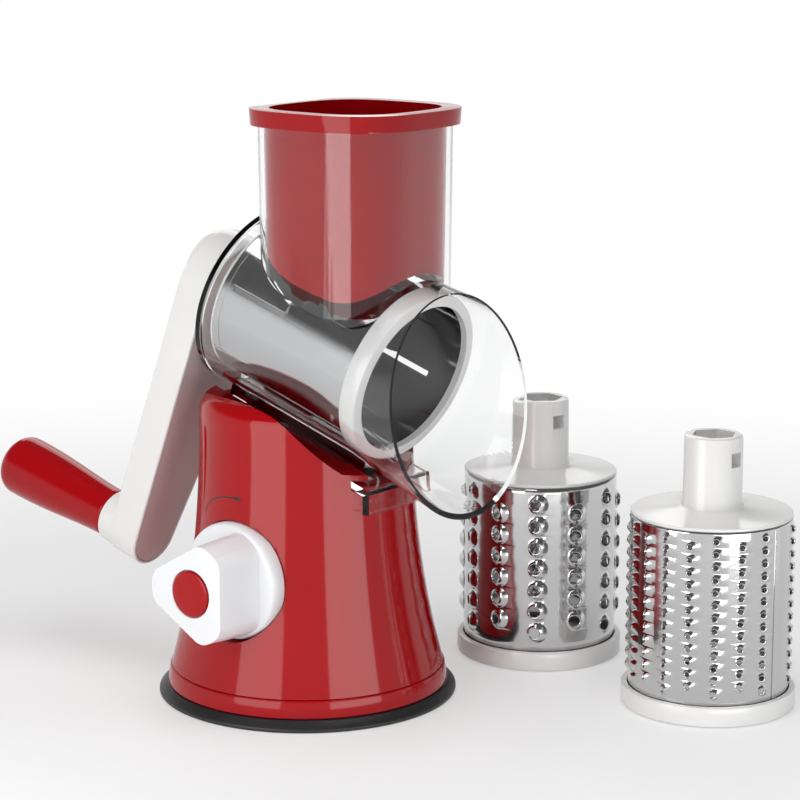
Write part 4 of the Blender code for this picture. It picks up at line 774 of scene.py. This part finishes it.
def punched_sheet(columns, rows, pitch, rings, plain=()):
    """The whole sheet, rolled round Z, with its teeth in staggered columns and plain bands at both ends."""
    half_width = math.pi * DRUM_RADIUS / columns
    tooth = punched_tooth(rings, half_width, pitch / 2)
    sheet = bmesh.new()
    for column in range(columns):
        count = 0 if column in plain else rows - column % 2
        across = 2 * half_width * column
        for row in range(count):
            known = len(sheet.verts)
            sheet.from_mesh(tooth)
            sheet.verts.ensure_lookup_table()
            bmesh.ops.translate(sheet, verts=sheet.verts[known:],
                                vec=(across, DRUM_MIDDLE + (row - (count - 1) / 2) * pitch, 0))
        ends = [step * pitch / 4 for step in range(-2 * rows, 2 * rows + 1)]
        heights = [SHEET_LOW] + [DRUM_MIDDLE + end for end in ends] + [SHEET_HIGH]
        for low, high in zip(heights, heights[1:]):
            if count and abs((low + high) / 2 - DRUM_MIDDLE) < count * pitch / 2:
                continue
            known = len(sheet.verts)
            bmesh.ops.create_grid(sheet, x_segments=4, y_segments=1, size=1)
            sheet.verts.ensure_lookup_table()
            for vert in sheet.verts[known:]:
                vert.co = (across + vert.co.x * half_width, high if vert.co.y > 0 else low, 0)
    bpy.data.meshes.remove(tooth)
    for vert in sheet.verts:
        angle = vert.co.x / DRUM_RADIUS
        radius = DRUM_RADIUS + vert.co.z
        vert.co = (radius * math.cos(angle), radius * math.sin(angle), vert.co.y)
    bmesh.ops.remove_doubles(sheet, verts=sheet.verts, dist=0.00002)
    bmesh.ops.recalc_face_normals(sheet, faces=sheet.faces)
    return sheet


def spare_place(node, turn_deg):
    """Where a spare drum stands: on the axis of its ring, turned as it was set down."""
    low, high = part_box(node)
    return Matrix.Translation(((low.x + high.x) / 2, (low.y + high.y) / 2, 0)) @ Matrix.Rotation(
        math.radians(turn_deg), 4, "Z")


# The rings of a tooth run outwards from its hole: centre, radius, and the sheet's rise on its left and right.
coarse_rings = [(-0.0007, 0.0024, 0.0004, 0.0019), (-0.0006, 0.0028, 0.0005, 0.0020),
                (0.0002, 0.0036, 0.0002, 0.0013), (0.0007, 0.0046, 0, 0.0002), (0.0003, 0.0049, 0, 0)]
fine_rings = [(-0.0004, 0.0011, 0.0003, 0.0012), (-0.0003, 0.0014, 0.0003, 0.0013),
              (0.0004, 0.0024, 0, 0.0001)]
for name, sheet_deg, hub_deg, sheet in (
        ("coarse", 32.5, 75.0, punched_sheet(12, 7, 0.0098, coarse_rings)),
        ("fine", 287.0, 83.0, punched_sheet(20, 13, 0.0055, fine_rings, plain=(19,)))):
    body_name = name + "_drum"
    ring_node = name + "_drum_ring"
    sleeve = made(name + "_sleeve", sheet, drum_steel, body_name, [name + "_drum_shell"],
                  spare_place(ring_node, sheet_deg))
    wall = sleeve.modifiers.new("sheet", "SOLIDIFY")
    wall.thickness = GRATER_SHEET
    wall.offset = -1
    made(name + "_ring", turned(drum_ring_profile), white_plastic, body_name, [ring_node],
         spare_place(ring_node, 0))
    hub_of(name + "_hub", spare_place(ring_node, hub_deg), body_name, name + "_drum_hub")
seam = soften(block((0.0344, -SEAM_HALF, SEAM_LOW), (SEAM_FACE, SEAM_HALF, SEAM_HIGH)), 0.0001, 2)
made("fine_seam", seam, drum_steel, "fine_drum", None, spare_place("fine_drum_ring", 263.5))


# Crank arm.  A white plastic arm, wide at the drum and narrow at the grip, with a round socket that takes the
# drum's stem and a six-sided drive plug inside it.  A cover plate is set into its front.  Its darker
# pink-grey colour paints the shade on the arm's front face and the red body's reflection in it.
HEAD_RADIUS, HEAD_DROP = 0.0244, 0.0055
END_RADIUS, CRANK_LENGTH = 0.0130, 0.1245
ARM_BACK, ARM_FRONT, ARM_MIDDLE = -0.0518, -0.0358, -0.0440
SOCKET_RADIUS, SOCKET_FRONT, SOCKET_ROUND = 0.0156, -0.0298, 0.0004
SOCKET_BORE, SOCKET_FLOOR = 0.0131, -0.0556
BOSS_RADIUS, BOSS_BACK = 0.0162, -0.0578
PLUG_RADIUS, PLUG_LENGTH, PLUG_MIDDLE = 0.0093, 0.0268, -0.0432
GRIP_BOSS_RADIUS, GRIP_BOSS_FRONT, GRIP_BOSS_ROOT = 0.0127, -0.0090, 0.0080
PAST_SOCKET, PAST_RECESS = -0.0280, -0.0340
PIN_BORE, PIN_BORE_FRONT, PIN_BORE_DEPTH = 0.0033, -0.0110, 0.0113
RECESS_INSET, COVER_INSET = 0.0014, 0.0017
RECESS_FLOOR, COVER_BACK = -0.0383, -0.0380
RECESS_HOLE, COVER_HOLE, HOLE_BACK, HOLE_FRONT = 0.01575, 0.0159, -0.0500, -0.0300
GRIP_LEAN_DEG = 3.8


def arm_outline(inset=0, steps=40):
    """Two arcs joined by straight tangents."""
    head_radius, end_radius = HEAD_RADIUS - inset, END_RADIUS - inset
    lean = math.asin((head_radius - end_radius) / (CRANK_LENGTH - HEAD_DROP))
    points = []
    for step in range(steps + 1):
        angle = -lean + (math.pi + 2 * lean) * step / steps
        points.append((head_radius * math.cos(angle), head_radius * math.sin(angle) - HEAD_DROP))
    for step in range(steps + 1):
        angle = math.pi + lean + (math.pi - 2 * lean) * step / steps
        points.append((end_radius * math.cos(angle), end_radius * math.sin(angle) - CRANK_LENGTH))
    return points


crank_place = drum_axis @ crank_rest
grip_place = crank_place @ Matrix.Translation((0, -CRANK_LENGTH, ARM_BACK)) @ Matrix.Rotation(
    -math.radians(GRIP_LEAN_DEG), 4, "X")
arm = made("arm_moulding", soften(prism(arm_outline(), ARM_BACK, ARM_FRONT), 0.0010, 3), white_plastic,
           "crank", ["crank_arm"], crank_place)
shape_with(arm, turned([(0, ARM_MIDDLE), (SOCKET_RADIUS, ARM_MIDDLE),
                        (SOCKET_RADIUS, SOCKET_FRONT - SOCKET_ROUND),
                        (SOCKET_RADIUS - SOCKET_ROUND, SOCKET_FRONT), (0, SOCKET_FRONT)], 112),
           "UNION", crank_place @ TOOL_TURN)
shape_with(arm, turned([(0, BOSS_BACK), (0.0146, BOSS_BACK), (0.0157, -0.0573), (BOSS_RADIUS, -0.0562),
                        (BOSS_RADIUS, ARM_MIDDLE), (0, ARM_MIDDLE)], 112),
           "UNION", crank_place @ TOOL_TURN @ TOOL_TURN)
shape_with(arm, turned([(0, GRIP_BOSS_FRONT), (0.0112, GRIP_BOSS_FRONT), (0.0118, -0.0084),
                        (GRIP_BOSS_RADIUS, 0), (GRIP_BOSS_RADIUS, GRIP_BOSS_ROOT), (0, GRIP_BOSS_ROOT)], 112),
           "UNION", grip_place @ TOOL_TURN)
shape_with(arm, bar(SOCKET_BORE, SOCKET_FLOOR, PAST_SOCKET, 96), place=crank_place)
shape_with(arm, hexagon(PLUG_RADIUS, PLUG_LENGTH, PLUG_MIDDLE), "UNION", crank_place)
recess = loose("recess", prism(arm_outline(RECESS_INSET), RECESS_FLOOR, PAST_RECESS))
shape_with(recess, bar(RECESS_HOLE, HOLE_BACK, HOLE_FRONT, 104))
shape_with(arm, taken(recess), place=crank_place)
shape_with(arm, bar(PIN_BORE, PIN_BORE_FRONT, PIN_BORE_DEPTH, 32), place=grip_place)
edges_kept(arm)
# Painted shade and painted reflection: the cover is coloured darker and pinker than the white arm, standing
# in for the shade on its face and the red body's reflection.
painted_shade_and_reflection_grey = finish_of("warm_grey_plastic", (0.590, 0.490, 0.475), (0.620, 0.515, 0.500), 0.30, 1100, 0.00003)
cover = made("arm_cover_plate", soften(prism(arm_outline(COVER_INSET), COVER_BACK, ARM_FRONT), 0.0003, 2),
             painted_shade_and_reflection_grey, "crank", ["arm_cover"], crank_place)
shape_with(cover, bar(COVER_HOLE, HOLE_BACK, HOLE_FRONT), place=crank_place @ TOOL_TURN)
edges_kept(cover)


# Grip.  A smooth red plastic handle, waisted at the arm and swelling to a round end, that turns freely on a
# steel pin.  A small red plug closes its end over the pin's head.
GRIP_FRONT, GRIP_BACK = -0.0095, -0.0740
GRIP_WAIST, GRIP_SWELL = 0.0110, 0.0030
GRIP_ROUND, GRIP_END_FLAT = 0.0070, 0.0070
SWELL_POWER = 1.15
PLUG_SEAT_RADIUS, PLUG_SEAT, PAST_GRIP = 0.0075, -0.07225, -0.0764
PIN_HEAD_RADIUS, PIN_HEAD_SEAT = 0.0060, -0.0688
GRIP_BORE, GRIP_BORE_FRONT = 0.0035, -0.0075
END_PLUG_RADIUS, END_PLUG_FRONT = 0.0072, -0.0724

profile = [(0, GRIP_BACK), (GRIP_END_FLAT, GRIP_BACK)]
for step in range(1, 9):
    angle = math.pi / 16 * step
    profile.append((GRIP_END_FLAT + GRIP_ROUND * math.sin(angle),
                    GRIP_BACK + GRIP_ROUND * (1 - math.cos(angle))))
for step in range(1, 25):
    share = step / 24
    swell = 0.5 + 0.5 * math.cos(math.pi * share ** SWELL_POWER)
    profile.append((GRIP_WAIST + GRIP_SWELL * swell,
                    GRIP_BACK + GRIP_ROUND + (GRIP_FRONT - GRIP_BACK - GRIP_ROUND) * share))
profile.append((0, GRIP_FRONT))
grip = turned(profile, 112)
neck_edges = [edge for edge in grip.edges if all(
    abs(vert.co.z - GRIP_FRONT) < 0.00001 and vert.co.xy.length > 0.01 for vert in edge.verts)]
grip = made("grip_moulding", soften(grip, 0.0009, 3, neck_edges), red_plastic, "grip", ["crank_grip"],
            grip_place)
shape_with(grip, turned([(0, PAST_GRIP), (PLUG_SEAT_RADIUS, PAST_GRIP), (PLUG_SEAT_RADIUS, PLUG_SEAT),
                         (PIN_HEAD_RADIUS, PLUG_SEAT), (PIN_HEAD_RADIUS, PIN_HEAD_SEAT),
                         (GRIP_BORE, PIN_HEAD_SEAT), (GRIP_BORE, GRIP_BORE_FRONT), (0, GRIP_BORE_FRONT)], 64),
           place=grip_place @ TOOL_TURN)
edges_kept(grip)
plug = soften(bar(END_PLUG_RADIUS, GRIP_BACK, END_PLUG_FRONT, 80), 0.0003, 2)
made("grip_end_plug", plug, red_plastic, "grip", ["grip_cap"], grip_place)
